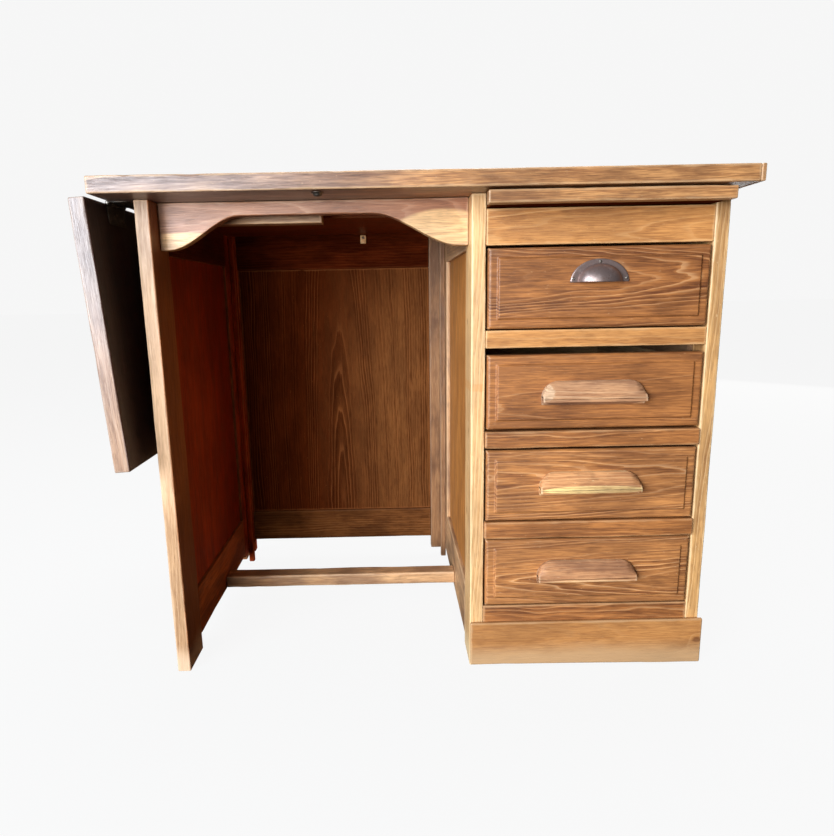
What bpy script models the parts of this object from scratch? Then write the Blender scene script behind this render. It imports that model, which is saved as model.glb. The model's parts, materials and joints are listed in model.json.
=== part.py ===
"""Single-pedestal teacher desk in oak, with a drop leaf on its left end.

The front faces -Y, +X is to the sitter's right and +Z is up; sizes are in metres.
The model is laid out from the left side's outer face (X = 0), the face of the front
stiles (Y = 0) and the floor (Z = 0), and is moved as a whole at the end, so that the
middle of its bounding box stands on the origin.
"""

import math

import bmesh
import bpy
from mathutils import Matrix, Vector

# ---------------------------------------------------------------- driving dimensions
GAP = 0.0003                      # air between pieces that touch on the real desk
HEIGHT = 0.770                    # floor to the writing surface
TOP_THICKNESS = 0.0232
TOP_LEFT = -0.0408                # the desktop overhangs the sides all round
TOP_RIGHT = 0.8740
TOP_FRONT = -0.0543
TOP_BACK = 0.4900
UNDERSIDE = HEIGHT - TOP_THICKNESS

SIDE_THICKNESS = 0.0215
SIDE_DEPTH = 0.4750
STILE_DEPTH = 0.0700
SIDE_TOP_RAIL_BOTTOM = 0.6730
SIDE_BOTTOM_RAIL_TOP = 0.1120
PANEL_THICKNESS = 0.0080
# name, outer left face, lower edge of the bottom rail, lower end of the rear stile
SIDES = (
    ("left", 0.0, 0.0290, 0.0220),
    ("middle", 0.4845, 0.0180, 0.0180),
    ("right", 0.8375, 0.0180, 0.0),
)
REAR_FOOT = (0.0129, 0.4466, 0.0217)   # width, front face, top of the left side's rear foot
KNEE_LEFT = SIDES[0][1] + SIDE_THICKNESS
KNEE_RIGHT = SIDES[1][1]
CASE_LEFT = SIDES[1][1] + SIDE_THICKNESS
CASE_RIGHT = SIDES[2][1]

BACK_FACE = 0.4457                # front face of the kneehole's back frame
BACK_THICKNESS = 0.0200
BACK_RAIL_BOTTOM = 0.0500
BACK_RAIL_TOP = 0.1180
BACK_TOP_RAIL_BOTTOM = 0.6660
BACK_LEFT_STILE = (0.0135, 0.0200)     # width, height of its foot above the floor
BACK_RIGHT_STILE = (0.0339, 0.0210)
BACK_BATTEN = 0.0117                   # side of the square battens in the two corners
BACK_BATTEN_FEET = (0.0, 0.0040)

APRON_FACE = 0.0340
APRON_THICKNESS = 0.0200
APRON_END_BOTTOM = 0.6780
APRON_MIDDLE_BOTTOM = 0.7262
APRON_LEFT_OGEE = (0.0120, 0.1200)     # where the curve starts and ends, from that end
APRON_RIGHT_OGEE = (0.0140, 0.1420)

LOPER_FACE = 0.0900               # the sliding bearer that holds the raised leaf
LOPER_DEPTH = 0.0300
LOPER_BOTTOM = 0.7205
LOPER_INNER_END = 0.2590
LOPER_PLAY = 0.0010               # air over the loper and round it in its notch

STRETCHER_Y = (0.2365, 0.2705)
STRETCHER_Z = (0.0314, 0.0554)
UNDER_BOARD_FRONT = 0.1700
UNDER_BOARD_BOTTOM = 0.7369
BUTTON_PIVOT = (0.3100, 0.7290)
BUTTON_HALF = (0.0062, 0.0040)    # half its width, half its thickness
BUTTON_REACH = (-0.0120, 0.0055)  # its lower and upper end from the pivot

LEAF_LENGTH = 0.3855
LEAF_THICKNESS = 0.0232
LEAF_REST_TILT = 3.45             # degrees that the hanging leaf leans in below
LEAF_HINGE_DROP = 0.0020          # hinge axis below the desktop's underside
LEAF_HINGE_GAP = 0.0006           # hinge axis to the end of the desktop, and to the leaf
HINGE_PIN_RADIUS = 0.0030
HINGE_WIDTH = 0.0600
HINGE_PLATE = (0.0300, 0.0012)    # reach from the axis, thickness
HINGE_MIDDLES = (0.0400, 0.4000)
ARRIS = 0.0026                    # chamfer that makes room for the hinge knuckles

LIP = (0.5017, 0.8417, -0.0480, -0.0280, 0.7259, 0.7439)
SLIDE_TRAVEL_BACK = 0.4200        # rear end of the writing slide
FRONT_RAIL_DEPTH = 0.0400
# name, bottom, top, how far it stands forward of the stiles, wood
FRONT_RAILS = (
    ("slide_rail", 0.6736, 0.7254, 0.0, "oak_honey"),
    ("upper_rail", 0.5242, 0.5509, 0.0, "oak_honey"),
    ("dark_rail_1", 0.3701, 0.3968, 0.0050, "oak_dark"),
    ("dark_rail_2", 0.2222, 0.2505, 0.0050, "oak_dark"),
    ("base_rail", 0.0700, 0.1060, 0.0, "oak_dark"),
)
PLINTH = (0.4848, 0.8636, -0.0070, 0.0008, 0.0790)
PEDESTAL_BACK = (0.4550, 0.4630, 0.0600)  # front, rear, bottom
RAIL_DEPTH_UNDER_SLIDE = 0.0200

DRAWER_LEFT = 0.5085
DRAWER_RIGHT = 0.8345
DRAWER_FACE = -0.0040
DRAWER_FRONT_BACK = 0.0140
FIELD_MARGIN = 0.0150
FIELD_RISE = 0.0030
RUNNER_BOARD = 0.0080             # thickness of the board that carries the runners
RUNNER_REACH = 0.0200
RUNNER_HEIGHT = 0.0140
RUNNER_BOARD_BOTTOM = 0.0700
BOX_INSET = 0.0080                # the box is narrower than its front, each side
BOX_BACK = 0.4300
BOX_WALL = 0.0100
BOX_FLOOR = 0.0060
BOX_RAISE = 0.0020                # underside of the box above the front's lower edge
BOX_DROP = 0.0100                 # top of the box below the front's upper edge
FLOOR_RAISE = 0.0020              # underside of the floor above that of the walls
# bottom and top of the fronts, top drawer first, and the handle's middle height
DRAWERS = (
    (0.5530, 0.6700, 0.6187),
    (0.4000, 0.5142, 0.4565),
    (0.2526, 0.3665, 0.3147),
    (0.1085, 0.2205, 0.1687),
)
CUP_MIDDLE = 0.6707
CUP_FLANGE = (0.0864, 0.0333, 0.0020)  # width, height, thickness
CUP_DOME = (0.0330, 0.0265, 0.0220)    # half its width, height, depth
CUP_WALL = 0.0022
BAR_MIDDLE = 0.6680
BAR_WIDTH = 0.1560
BAR_HEIGHT = 0.0360
BAR_REACH = 0.0170
BAR_CORNER = 0.0250
# the pull's cross-section as (out from the drawer, up from its lower edge)
BAR_SECTION = (
    (0.0, 0.0360), (0.0045, 0.0360), (0.0150, 0.0125), (0.0170, 0.0090), (0.0170, 0.0060),
    (0.0158, 0.0050), (0.0135, 0.0050), (0.0115, 0.0105), (0.0060, 0.0105), (0.0042, 0.0),
    (0.0, 0.0),
)

WOODS = {
    "oak_top": ((0.42, 0.24, 0.13), 0.45),
    "oak_frame": ((0.55, 0.32, 0.16), 0.50),
    "oak_pale": ((0.72, 0.48, 0.24), 0.50),
    "oak_honey": ((0.58, 0.33, 0.14), 0.50),
    "oak_dark": ((0.36, 0.17, 0.07), 0.45),
    "oak_panel": ((0.33, 0.15, 0.06), 0.50),
    "drawer_wood": ((0.62, 0.44, 0.26), 0.65),
}
METALS = {
    "gunmetal": ((0.07, 0.055, 0.06), 0.40),
    "hinge_steel": ((0.16, 0.14, 0.12), 0.50),
}


# --------------------------------------------------------------------------- helpers
def clear_scene():
    """Remove every object that the start-up file holds."""
    for thing in list(bpy.data.objects):
        bpy.data.objects.remove(thing, do_unlink=True)


def new_collection(name):
    """Link a new collection under the scene."""
    made = bpy.data.collections.new(name)
    bpy.context.scene.collection.children.link(made)
    return made


def new_material(name):
    """Principled material for one of the woods or metals listed above."""
    colour, roughness = (WOODS.get(name) or METALS.get(name))
    material = bpy.data.materials.new(name)
    material.use_nodes = True
    shader = material.node_tree.nodes["Principled BSDF"]
    shader.inputs["Base Color"].default_value = (*colour, 1.0)
    shader.inputs["Roughness"].default_value = roughness
    shader.inputs["Metallic"].default_value = 1.0 if name in METALS else 0.0
    material.diffuse_color = (*colour, 1.0)
    return material


def add_object(name, mesh, place, collection, wood=None):
    """Object for a mesh, with its material, in a collection."""
    made = bpy.data.objects.new(name, mesh)
    made.location = place
    collection.objects.link(made)
    if wood:
        mesh.materials.append(new_material(wood))
        mesh.materials[0].name = f"{name}_{wood}"
    return made


def box(name, x, y, z, wood, bevel=0.0012, segments=1, collection=None):
    """Block between pairs of X, Y and Z, with its origin at its middle."""
    low, high = Vector((x[0], y[0], z[0])), Vector((x[1], y[1], z[1]))
    mesh = bpy.data.meshes.new(name)
    shape = bmesh.new()
    bmesh.ops.create_cube(shape, size=1.0, matrix=Matrix.Diagonal((*(high - low), 1.0)))
    shape.to_mesh(mesh)
    shape.free()
    made = add_object(name, mesh, (low + high) / 2, collection or PARTS, wood)
    if bevel:
        round_edges(made, bevel, segments)
    return made


def rod(name, start, axis, length, radius, wood, sides=16, collection=None):
    """Round bar from a point along one of the world's axes."""
    turn = Vector((0, 0, 1)).rotation_difference(Vector(axis)).to_matrix().to_4x4()
    mesh = bpy.data.meshes.new(name)
    shape = bmesh.new()
    bmesh.ops.create_cone(
        shape, cap_ends=True, segments=sides, radius1=radius, depth=length,
        radius2=radius, matrix=turn)
    shape.to_mesh(mesh)
    shape.free()
    middle = Vector(start) + Vector(axis) * length / 2
    return add_object(name, mesh, middle, collection or PARTS, wood)


def outline_slab(name, points, thickness, turn, place, wood, collection=None):
    """Flat outline of (across, up) points given a thickness, made as a mesh."""
    curve = bpy.data.curves.new(f"{name}_outline", "CURVE")
    curve.dimensions = "2D"
    curve.fill_mode = "BOTH"
    curve.extrude = thickness / 2
    spline = curve.splines.new("POLY")
    spline.points.add(len(points) - 1)
    for point, (across, up) in zip(spline.points, points):
        point.co = (across, up, 0.0, 1.0)
    spline.use_cyclic_u = True
    drawn = bpy.data.objects.new(f"{name}_outline", curve)
    bpy.context.scene.collection.objects.link(drawn)
    bpy.context.view_layer.update()
    mesh = bpy.data.meshes.new_from_object(drawn.evaluated_get(bpy.context.evaluated_depsgraph_get()))
    bpy.data.objects.remove(drawn, do_unlink=True)
    shape = bmesh.new()
    shape.from_mesh(mesh)
    bmesh.ops.remove_doubles(shape, verts=shape.verts, dist=0.00001)
    bmesh.ops.transform(shape, matrix=turn, verts=shape.verts)
    bmesh.ops.recalc_face_normals(shape, faces=shape.faces)
    shape.to_mesh(mesh)
    shape.free()
    mesh.name = name
    mesh.materials.clear()
    return add_object(name, mesh, place, collection or PARTS, wood)


def round_edges(thing, width, segments=1):
    """Bevel every edge sharper than 30 degrees."""
    bevel = thing.modifiers.new("rounded_edges", "BEVEL")
    bevel.width = width
    bevel.segments = segments
    bevel.limit_method = "ANGLE"
    bevel.angle_limit = math.radians(30)
    return bevel


def combine(thing, other, operation):
    """Exact Boolean with another object, which becomes a hidden cutter."""
    joint = thing.modifiers.new(f"{operation.lower()}_{other.name}"[:60], "BOOLEAN")
    joint.operation = operation
    joint.solver = "EXACT"
    joint.object = other
    other.hide_render = True
    other.display_type = "WIRE"
    return joint


def smooth_step(share):
    """Ease from 0 to 1 with level ends."""
    return share * share * (3.0 - 2.0 * share)


def tie(children, parent):
    """Parent pieces to an empty without moving them."""
    bpy.context.view_layer.update()
    for child in children:
        child.parent = parent
        child.matrix_parent_inverse = parent.matrix_world.inverted()


def empty(name, place):
    """Empty that carries a moving body on its joint's axis."""
    made = bpy.data.objects.new(name, None)
    made.location = place
    made.empty_display_size = 0.05
    PARTS.objects.link(made)
    return made


# ------------------------------------------------------------------ desktop and leaf
def build_desktop():
    """Desktop board, chamfered below its left end where the hinge knuckles lie."""
    top = box("desktop", (TOP_LEFT, TOP_RIGHT), (TOP_FRONT, TOP_BACK), (UNDERSIDE, HEIGHT),
              "oak_top", 0.0010, 2)
    chamfer_along_y(top, "desktop_arris", Vector((TOP_LEFT, 0, UNDERSIDE)))


def chamfer_along_y(board, name, edge):
    """Cut a 45-degree chamfer along a board's edge with a turned square bar."""
    length = 1.2 * (TOP_BACK - TOP_FRONT)
    side = ARRIS * math.sqrt(2)
    middle = (TOP_FRONT + TOP_BACK) / 2
    cutter = box(name, (edge.x - side / 2, edge.x + side / 2),
                 (middle - length / 2, middle + length / 2),
                 (edge.z - side / 2, edge.z + side / 2), None, 0.0, collection=CUTTERS)
    cutter.rotation_euler = (0.0, math.radians(45), 0.0)
    combine(board, cutter, "DIFFERENCE")


def build_leaf():
    """Drop leaf and its hinge flaps, on an empty at the hinge axis."""
    axis_x = TOP_LEFT - LEAF_HINGE_GAP
    axis_z = UNDERSIDE - LEAF_HINGE_DROP
    inner = axis_x - LEAF_HINGE_DROP
    top = axis_z - LEAF_HINGE_GAP
    leaf = box("leaf", (inner - LEAF_THICKNESS, inner), (TOP_FRONT, TOP_BACK),
               (top - LEAF_LENGTH, top), "oak_top", 0.0010, 2)
    chamfer_along_y(leaf, "leaf_arris", Vector((inner, 0, top)))
    reach, plate = HINGE_PLATE
    face = inner + GAP
    flaps = []
    for number, middle in enumerate(HINGE_MIDDLES, 1):
        span = (middle - HINGE_WIDTH / 2, middle + HINGE_WIDTH / 2)
        flaps.append(box(f"hinge_{number}_leaf_flap", (face, face + plate), span,
                         (axis_z - reach, axis_z - HINGE_PIN_RADIUS - GAP), "hinge_steel", 0.0))
    pivot = empty("leaf_pivot", (axis_x, 0.0, axis_z))
    tie([leaf, *flaps], pivot)
    pivot.rotation_euler = (0.0, -math.radians(LEAF_REST_TILT), 0.0)


def build_hinge_bodies():
    """Fixed halves of the two hinges: a flap under the desktop and the knuckle."""
    axis_x = TOP_LEFT - LEAF_HINGE_GAP
    axis_z = UNDERSIDE - LEAF_HINGE_DROP
    reach, plate = HINGE_PLATE
    for number, middle in enumerate(HINGE_MIDDLES, 1):
        span = (middle - HINGE_WIDTH / 2, middle + HINGE_WIDTH / 2)
        flap = box(f"hinge_{number}_fixed_flap", (axis_x, axis_x + reach), span,
                   (UNDERSIDE - GAP - plate, UNDERSIDE - GAP), "hinge_steel", 0.0)
        knuckle = rod(f"hinge_{number}_knuckle", (axis_x, span[0] - GAP, axis_z), (0, 1, 0),
                      HINGE_WIDTH + 2 * GAP, HINGE_PIN_RADIUS, None, collection=CUTTERS)
        combine(flap, knuckle, "UNION")


# ---------------------------------------------------------------------- fixed frame
def build_side(name, left, rail_bottom, rear_bottom):
    """One frame-and-panel side: two stiles, two rails and a panel."""
    x = (left, left + SIDE_THICKNESS)
    stile_wood = {"left": "oak_frame"}.get(name, "oak_pale")
    top = UNDERSIDE - GAP
    front, rear = STILE_DEPTH, SIDE_DEPTH - STILE_DEPTH
    between = (front + GAP, rear - GAP)
    box(f"{name}_front_stile", x, (0.0, front), (0.0, top), stile_wood, 0.0015)
    box(f"{name}_rear_stile", x, (rear, SIDE_DEPTH), (rear_bottom, top), "oak_frame", 0.0015)
    upper = box(f"{name}_top_rail", x, between, (SIDE_TOP_RAIL_BOTTOM, top), "oak_frame", 0.0)
    if name == "left":
        notch = box("loper_notch", (left - 0.01, left + SIDE_THICKNESS + 0.01),
                    (LOPER_FACE - LOPER_PLAY, LOPER_FACE + LOPER_DEPTH + LOPER_PLAY),
                    (LOPER_BOTTOM - LOPER_PLAY, HEIGHT), None, 0.0, collection=CUTTERS)
        combine(upper, notch, "DIFFERENCE")
    round_edges(upper, 0.0010)
    box(f"{name}_bottom_rail", x, between, (rail_bottom, SIDE_BOTTOM_RAIL_TOP), "oak_frame")
    centre = left + SIDE_THICKNESS / 2
    box(f"{name}_panel", (centre - PANEL_THICKNESS / 2, centre + PANEL_THICKNESS / 2), between,
        (SIDE_BOTTOM_RAIL_TOP + GAP, SIDE_TOP_RAIL_BOTTOM - GAP), "oak_panel", 0.0)


def build_rear_foot(stile):
    """Narrower end on which the left side's rear stile stands, one piece with it."""
    width, front, top = REAR_FOOT
    foot = box("left_rear_foot", (0.0, width), (front, SIDE_DEPTH - 0.0001), (0.0, top + 0.0020), None,
               0.0, collection=CUTTERS)
    combine(stile, foot, "UNION")


def build_kneehole_back():
    """Frame-and-panel back of the kneehole, with a square batten in each corner."""
    y = (BACK_FACE, BACK_FACE + BACK_THICKNESS)
    x_left, x_right = KNEE_LEFT + GAP, KNEE_RIGHT - GAP
    left_width, left_foot = BACK_LEFT_STILE
    right_width, right_foot = BACK_RIGHT_STILE
    top = UNDERSIDE - GAP
    between = (x_left + left_width + GAP, x_right - right_width - GAP)
    box("back_left_stile", (x_left, x_left + left_width), y, (left_foot, top), "oak_frame")
    box("back_right_stile", (x_right - right_width, x_right), y, (right_foot, top), "oak_frame")
    box("back_top_rail", between, y, (BACK_TOP_RAIL_BOTTOM, top), "oak_frame")
    box("back_bottom_rail", between, y, (BACK_RAIL_BOTTOM, BACK_RAIL_TOP), "oak_frame")
    batten_y = (BACK_FACE - GAP - BACK_BATTEN, BACK_FACE - GAP)
    for side, low_x, foot in zip(("left", "right"), (x_left, x_right - BACK_BATTEN), BACK_BATTEN_FEET):
        box(f"back_{side}_batten", (low_x, low_x + BACK_BATTEN), batten_y,
            (foot, UNDER_BOARD_BOTTOM - GAP), "oak_frame")
    middle = sum(y) / 2
    box("back_panel", between, (middle - PANEL_THICKNESS / 2, middle + PANEL_THICKNESS / 2),
        (BACK_RAIL_TOP + GAP, BACK_TOP_RAIL_BOTTOM - GAP), "oak_panel", 0.0)


def apron_outline():
    """Front view of the apron: straight top, and a lower edge with an S-curve each side."""
    left, right = KNEE_LEFT + GAP, KNEE_RIGHT - GAP
    low, high = APRON_END_BOTTOM, APRON_MIDDLE_BOTTOM
    steps = 14
    points = [(left, UNDERSIDE - GAP), (left, low)]
    start, end = APRON_LEFT_OGEE
    for step in range(steps + 1):
        share = step / steps
        points.append((left + start + share * (end - start),
                       low + (high - low) * smooth_step(share)))
    start, end = APRON_RIGHT_OGEE
    for step in range(steps, -1, -1):
        share = step / steps
        points.append((right - start - share * (end - start),
                       low + (high - low) * smooth_step(share)))
    return points + [(right, low), (right, UNDERSIDE - GAP)]


def build_kneehole_front():
    """Shaped apron, foot stretcher, board under the top, loper and turn button."""
    stand_up = Matrix.Rotation(math.radians(90), 4, "X")
    outline_slab("apron", apron_outline(), APRON_THICKNESS, stand_up,
                 (0.0, APRON_FACE + APRON_THICKNESS / 2, 0.0), "oak_frame")
    x = (KNEE_LEFT + GAP, KNEE_RIGHT - GAP)
    box("stretcher", x, STRETCHER_Y, STRETCHER_Z, "oak_frame", 0.0020)
    box("under_board", x, (UNDER_BOARD_FRONT, BACK_FACE - GAP), (UNDER_BOARD_BOTTOM, UNDERSIDE - GAP),
        "oak_panel", 0.0)
    box("loper", (0.0005, LOPER_INNER_END), (LOPER_FACE, LOPER_FACE + LOPER_DEPTH),
        (LOPER_BOTTOM, UNDERSIDE - LOPER_PLAY), "oak_honey")
    half_width, half_thickness = BUTTON_HALF
    button = box("turn_button", (-half_width, half_width), (-half_thickness, half_thickness),
                 BUTTON_REACH, "oak_pale", 0.0030, 2)
    button.data.transform(Matrix.Translation(button.location))
    button.location = (BUTTON_PIVOT[0], BACK_FACE - GAP - half_thickness, BUTTON_PIVOT[1])


# ------------------------------------------------------------------------- pedestal
def build_pedestal_front():
    """Fixed rails between the drawers, the plinth and the case's back."""
    x = (CASE_LEFT + GAP, CASE_RIGHT - GAP)
    for name, low, high, proud, wood in FRONT_RAILS:
        depth = RAIL_DEPTH_UNDER_SLIDE if name == "slide_rail" else FRONT_RAIL_DEPTH
        box(name, x, (-proud, depth), (low, high), wood, 0.0015, 2 if proud else 1)
    left, right, face, low, high = PLINTH
    box("plinth", (left, right), (face, -GAP), (low, high), "oak_honey", 0.0015, 2)
    front, rear, bottom = PEDESTAL_BACK
    box("pedestal_back", x, (front, rear), (bottom, UNDERSIDE - GAP), "oak_panel", 0.0)


def build_runners(name, wall, inward):
    """Lining board on one wall of the case, with a runner bar under each drawer."""
    board_x = sorted((wall + inward * GAP, wall + inward * RUNNER_BOARD))
    runner_x = sorted((wall + inward * GAP, wall + inward * RUNNER_REACH))
    lining = box(name, board_x, (FRONT_RAIL_DEPTH + 2 * GAP, SIDE_DEPTH - 0.0350),
                 (RUNNER_BOARD_BOTTOM, SIDE_TOP_RAIL_BOTTOM), "drawer_wood", 0.0)
    for number, (low, _, _) in enumerate(DRAWERS, 1):
        top = low + BOX_RAISE - 2 * GAP
        runner = box(f"{name}_bar_{number}", runner_x,
                     (FRONT_RAIL_DEPTH + 3 * GAP, SIDE_DEPTH - 0.0355),
                     (top - RUNNER_HEIGHT, top), None, 0.0, collection=CUTTERS)
        combine(lining, runner, "UNION")


def build_slide():
    """Pull-out writing slide: a thin board with a deeper lip in front."""
    left, right, front, back, low, high = LIP
    lip = box("slide_lip", (left, right), (front, back), (low, high), "oak_top", 0.0012, 2)
    board = box("slide_board", (CASE_LEFT + 0.0012, CASE_RIGHT - 0.0012),
                (back + GAP, SLIDE_TRAVEL_BACK), (low + 0.0008, high - 0.0016), "oak_panel")
    tie([lip, board], empty("slide_carrier", ((left + right) / 2, front, (low + high) / 2)))


# -------------------------------------------------------------------------- drawers
def build_front_board(number, low, high):
    """Drawer front with a rounded outer edge and a raised field inside a flat margin."""
    front = box(f"drawer_{number}_front", (DRAWER_LEFT, DRAWER_RIGHT),
                (DRAWER_FACE, DRAWER_FRONT_BACK), (low, high), "oak_dark", 0.0026, 2)
    margin = FIELD_MARGIN
    field = box(f"drawer_{number}_field", (DRAWER_LEFT + margin, DRAWER_RIGHT - margin),
                (DRAWER_FACE - FIELD_RISE, DRAWER_FACE + 0.0060), (low + margin, high - margin),
                None, 0.0, collection=CUTTERS)
    combine(front, field, "UNION")
    return front


def build_box(number, low, high):
    """Drawer box: sides and back in one U around the space inside, and a floor."""
    left, right = DRAWER_LEFT + BOX_INSET, DRAWER_RIGHT - BOX_INSET
    start = DRAWER_FRONT_BACK + GAP
    bottom, top = low + BOX_RAISE, high - BOX_DROP
    walls = box(f"drawer_{number}_walls", (left, right), (start, BOX_BACK), (bottom, top),
                "drawer_wood", 0.0)
    inside = box(f"drawer_{number}_inside", (left + BOX_WALL, right - BOX_WALL),
                 (start - 0.02, BOX_BACK - BOX_WALL), (bottom - 0.02, top + 0.02), None, 0.0,
                 collection=CUTTERS)
    combine(walls, inside, "DIFFERENCE")
    floor = box(f"drawer_{number}_floor", (left + BOX_WALL + GAP, right - BOX_WALL - GAP),
                (start, BOX_BACK - BOX_WALL - GAP),
                (bottom + FLOOR_RAISE, bottom + FLOOR_RAISE + BOX_FLOOR), "drawer_wood", 0.0)
    return [walls, floor]


def build_cup_pull(low):
    """Cast cup pull: a half-round flange with a hollow quarter-dome, open below."""
    width, height, thick = CUP_FLANGE
    face = DRAWER_FACE - FIELD_RISE - GAP
    steps = 16
    flange_points = []
    for step in range(steps + 1):
        angle = math.pi * step / steps
        flange_points.append((width / 2 * math.cos(angle), height * math.sin(angle)))
    stand_up = Matrix.Rotation(math.radians(90), 4, "X")
    pull = outline_slab("drawer_1_cup_pull", flange_points, thick, stand_up,
                        (CUP_MIDDLE, face - thick / 2, low), "gunmetal")
    half_width, rise, depth = CUP_DOME
    outer = half_dome("cup_outer", half_width, rise, depth, face, low)
    inner = half_dome("cup_inner", half_width - CUP_WALL, rise - CUP_WALL, depth - CUP_WALL, face,
                      low - 0.0002)
    combine(outer, inner, "DIFFERENCE")
    combine(pull, outer, "UNION")
    return pull


def half_dome(name, half_width, height, depth, face, low):
    """Quarter of an ellipsoid that stands on the drawer's face and is flat below."""
    mesh = bpy.data.meshes.new(name)
    shape = bmesh.new()
    bmesh.ops.create_uvsphere(shape, u_segments=28, v_segments=14, radius=1.0,
                              matrix=Matrix.Diagonal((half_width, depth, height, 1.0)))
    for normal in (Vector((0, 1, 0)), Vector((0, 0, -1))):
        cut = bmesh.ops.bisect_plane(
            shape, geom=shape.verts[:] + shape.edges[:] + shape.faces[:],
            plane_co=(0, 0, 0), plane_no=normal, clear_outer=True)
        rim = [part for part in cut["geom_cut"] if isinstance(part, bmesh.types.BMEdge)]
        bmesh.ops.contextual_create(shape, geom=rim)
    bmesh.ops.recalc_face_normals(shape, faces=shape.faces)
    shape.to_mesh(mesh)
    shape.free()
    return add_object(name, mesh, (CUP_MIDDLE, face - 0.0004, low), CUTTERS)


def build_bar_pull(number, middle_z):
    """Wooden bar pull: sloped front, finger groove below, quarter-round top corners."""
    face = DRAWER_FACE - FIELD_RISE - GAP
    half, reach = BAR_HEIGHT / 2, BAR_WIDTH / 2
    section = [(-out, up - half) for out, up in BAR_SECTION]
    lengthways = Matrix.Rotation(math.radians(90), 4, "Z") @ Matrix.Rotation(math.radians(90), 4, "X")
    bar = outline_slab(f"drawer_{number}_bar_pull", section, BAR_WIDTH, lengthways,
                       (BAR_MIDDLE, face, middle_z), "oak_top")
    below = -half - 0.01
    corner = []
    steps = 8
    for step in range(steps + 1):
        angle = math.radians(90 * step / steps)
        corner.append((reach - BAR_CORNER * (1.0 - math.cos(angle)),
                       half - BAR_CORNER * (1.0 - math.sin(angle))))
    outline = [(-reach, below), (reach, below), *corner]
    outline += [(-across, up) for across, up in reversed(corner)]
    stand_up = Matrix.Rotation(math.radians(90), 4, "X")
    trim = outline_slab(f"bar_trim_{number}", outline, 0.10, stand_up,
                        (BAR_MIDDLE, face, middle_z), None, CUTTERS)
    combine(bar, trim, "INTERSECT")
    return bar


def build_drawers():
    """The four drawers, each carried by an empty on its slide."""
    for number, (low, high, handle) in enumerate(DRAWERS, 1):
        pieces = [build_front_board(number, low, high), *build_box(number, low, high)]
        pieces.append(build_cup_pull(handle) if number == 1 else build_bar_pull(number, handle))
        middle = ((DRAWER_LEFT + DRAWER_RIGHT) / 2, DRAWER_FACE, (low + high) / 2)
        tie(pieces, empty(f"drawer_{number}_carrier", middle))


# ---------------------------------------------------------------------------- whole
def stand_on_origin():
    """Move everything so that the bounding box's bottom centre is at the origin."""
    bpy.context.view_layer.update()
    graph = bpy.context.evaluated_depsgraph_get()
    corners = []
    for thing in PARTS.objects:
        if thing.type == "MESH":
            shaped = thing.evaluated_get(graph)
            corners += [shaped.matrix_world @ vertex.co for vertex in shaped.data.vertices]
    shift = [(min(c[i] for c in corners) + max(c[i] for c in corners)) / 2 for i in (0, 1)]
    offset = Vector((*shift, min(c.z for c in corners)))
    for thing in list(PARTS.objects) + list(CUTTERS.objects):
        if thing.parent is None:
            thing.location -= offset
    bpy.context.view_layer.update()
    print("moved by", tuple(round(value, 6) for value in -offset))


clear_scene()
PARTS = new_collection("teacher_desk")
CUTTERS = new_collection("cutters")
build_desktop()
build_leaf()
build_hinge_bodies()
for side in SIDES:
    build_side(*side)
build_rear_foot(bpy.data.objects["left_rear_stile"])
build_kneehole_back()
build_kneehole_front()
build_pedestal_front()
build_runners("left_runners", CASE_LEFT, 1)
build_runners("right_runners", CASE_RIGHT, -1)
build_slide()
build_drawers()
stand_on_origin()
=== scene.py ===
"""Small teacher's desk in old waxed oak: drawer case on the right, drop leaf on the left.

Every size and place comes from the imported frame. Each wooden piece is a worn board worked
out on a grid, and gets an oak finish whose growth rings, pore streaks, knots and rubbed
edges are drawn in the board's own directions. The metal pieces are turned or shaped
surfaces. Lengths are in metres; the front faces -Y and +Z is up.
"""

import json
import logging
import math
from dataclasses import dataclass, field, replace
from enum import Enum
from typing import Callable, Optional, Sequence, Union

import bmesh
import bpy
import numpy as np
from mathutils import Matrix, Vector


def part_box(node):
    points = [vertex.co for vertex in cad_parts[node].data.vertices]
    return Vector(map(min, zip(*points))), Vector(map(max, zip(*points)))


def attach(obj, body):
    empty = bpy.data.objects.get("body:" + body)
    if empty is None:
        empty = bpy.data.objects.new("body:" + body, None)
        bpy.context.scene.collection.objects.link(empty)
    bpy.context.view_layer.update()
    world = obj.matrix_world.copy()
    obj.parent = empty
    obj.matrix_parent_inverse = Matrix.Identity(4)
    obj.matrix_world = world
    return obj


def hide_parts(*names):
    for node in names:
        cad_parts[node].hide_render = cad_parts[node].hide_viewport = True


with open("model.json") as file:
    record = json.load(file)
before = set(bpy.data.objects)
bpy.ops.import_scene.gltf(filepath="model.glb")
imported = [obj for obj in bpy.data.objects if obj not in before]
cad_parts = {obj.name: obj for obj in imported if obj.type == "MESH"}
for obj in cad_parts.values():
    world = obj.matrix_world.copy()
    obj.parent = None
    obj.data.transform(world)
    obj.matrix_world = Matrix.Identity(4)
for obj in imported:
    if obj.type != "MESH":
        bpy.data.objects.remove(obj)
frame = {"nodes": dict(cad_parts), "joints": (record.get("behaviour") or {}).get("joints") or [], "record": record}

LOG = logging.getLogger("teacher_desk")
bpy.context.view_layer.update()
BODY_OF = {
    node: body
    for body, members in frame["record"]["behaviour"]["bodies"].items()
    for node in members
}
Rgb = tuple[float, float, float]
QUARTER_TURN = 0.5 * math.pi


class Grain(Enum):
    """World axis that a board's fibres run along."""

    X = 0
    Y = 1
    Z = 2


class Cut(Enum):
    """How a board was sawn: where the heart of the tree lies and how the trunk leans.

    The values are the heart's distance across the face, its distance below the face, and
    how fast the latter grows along the board. A near heart below the face gives arched
    figure, a far one to the side gives straight lines.
    """

    CROWN = (0.004, 0.030, 0.075)
    ARCHED = (0.015, 0.055, 0.050)
    RIFT = (0.160, 0.090, 0.012)
    STRAIGHT = (0.400, 0.060, 0.006)


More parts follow.
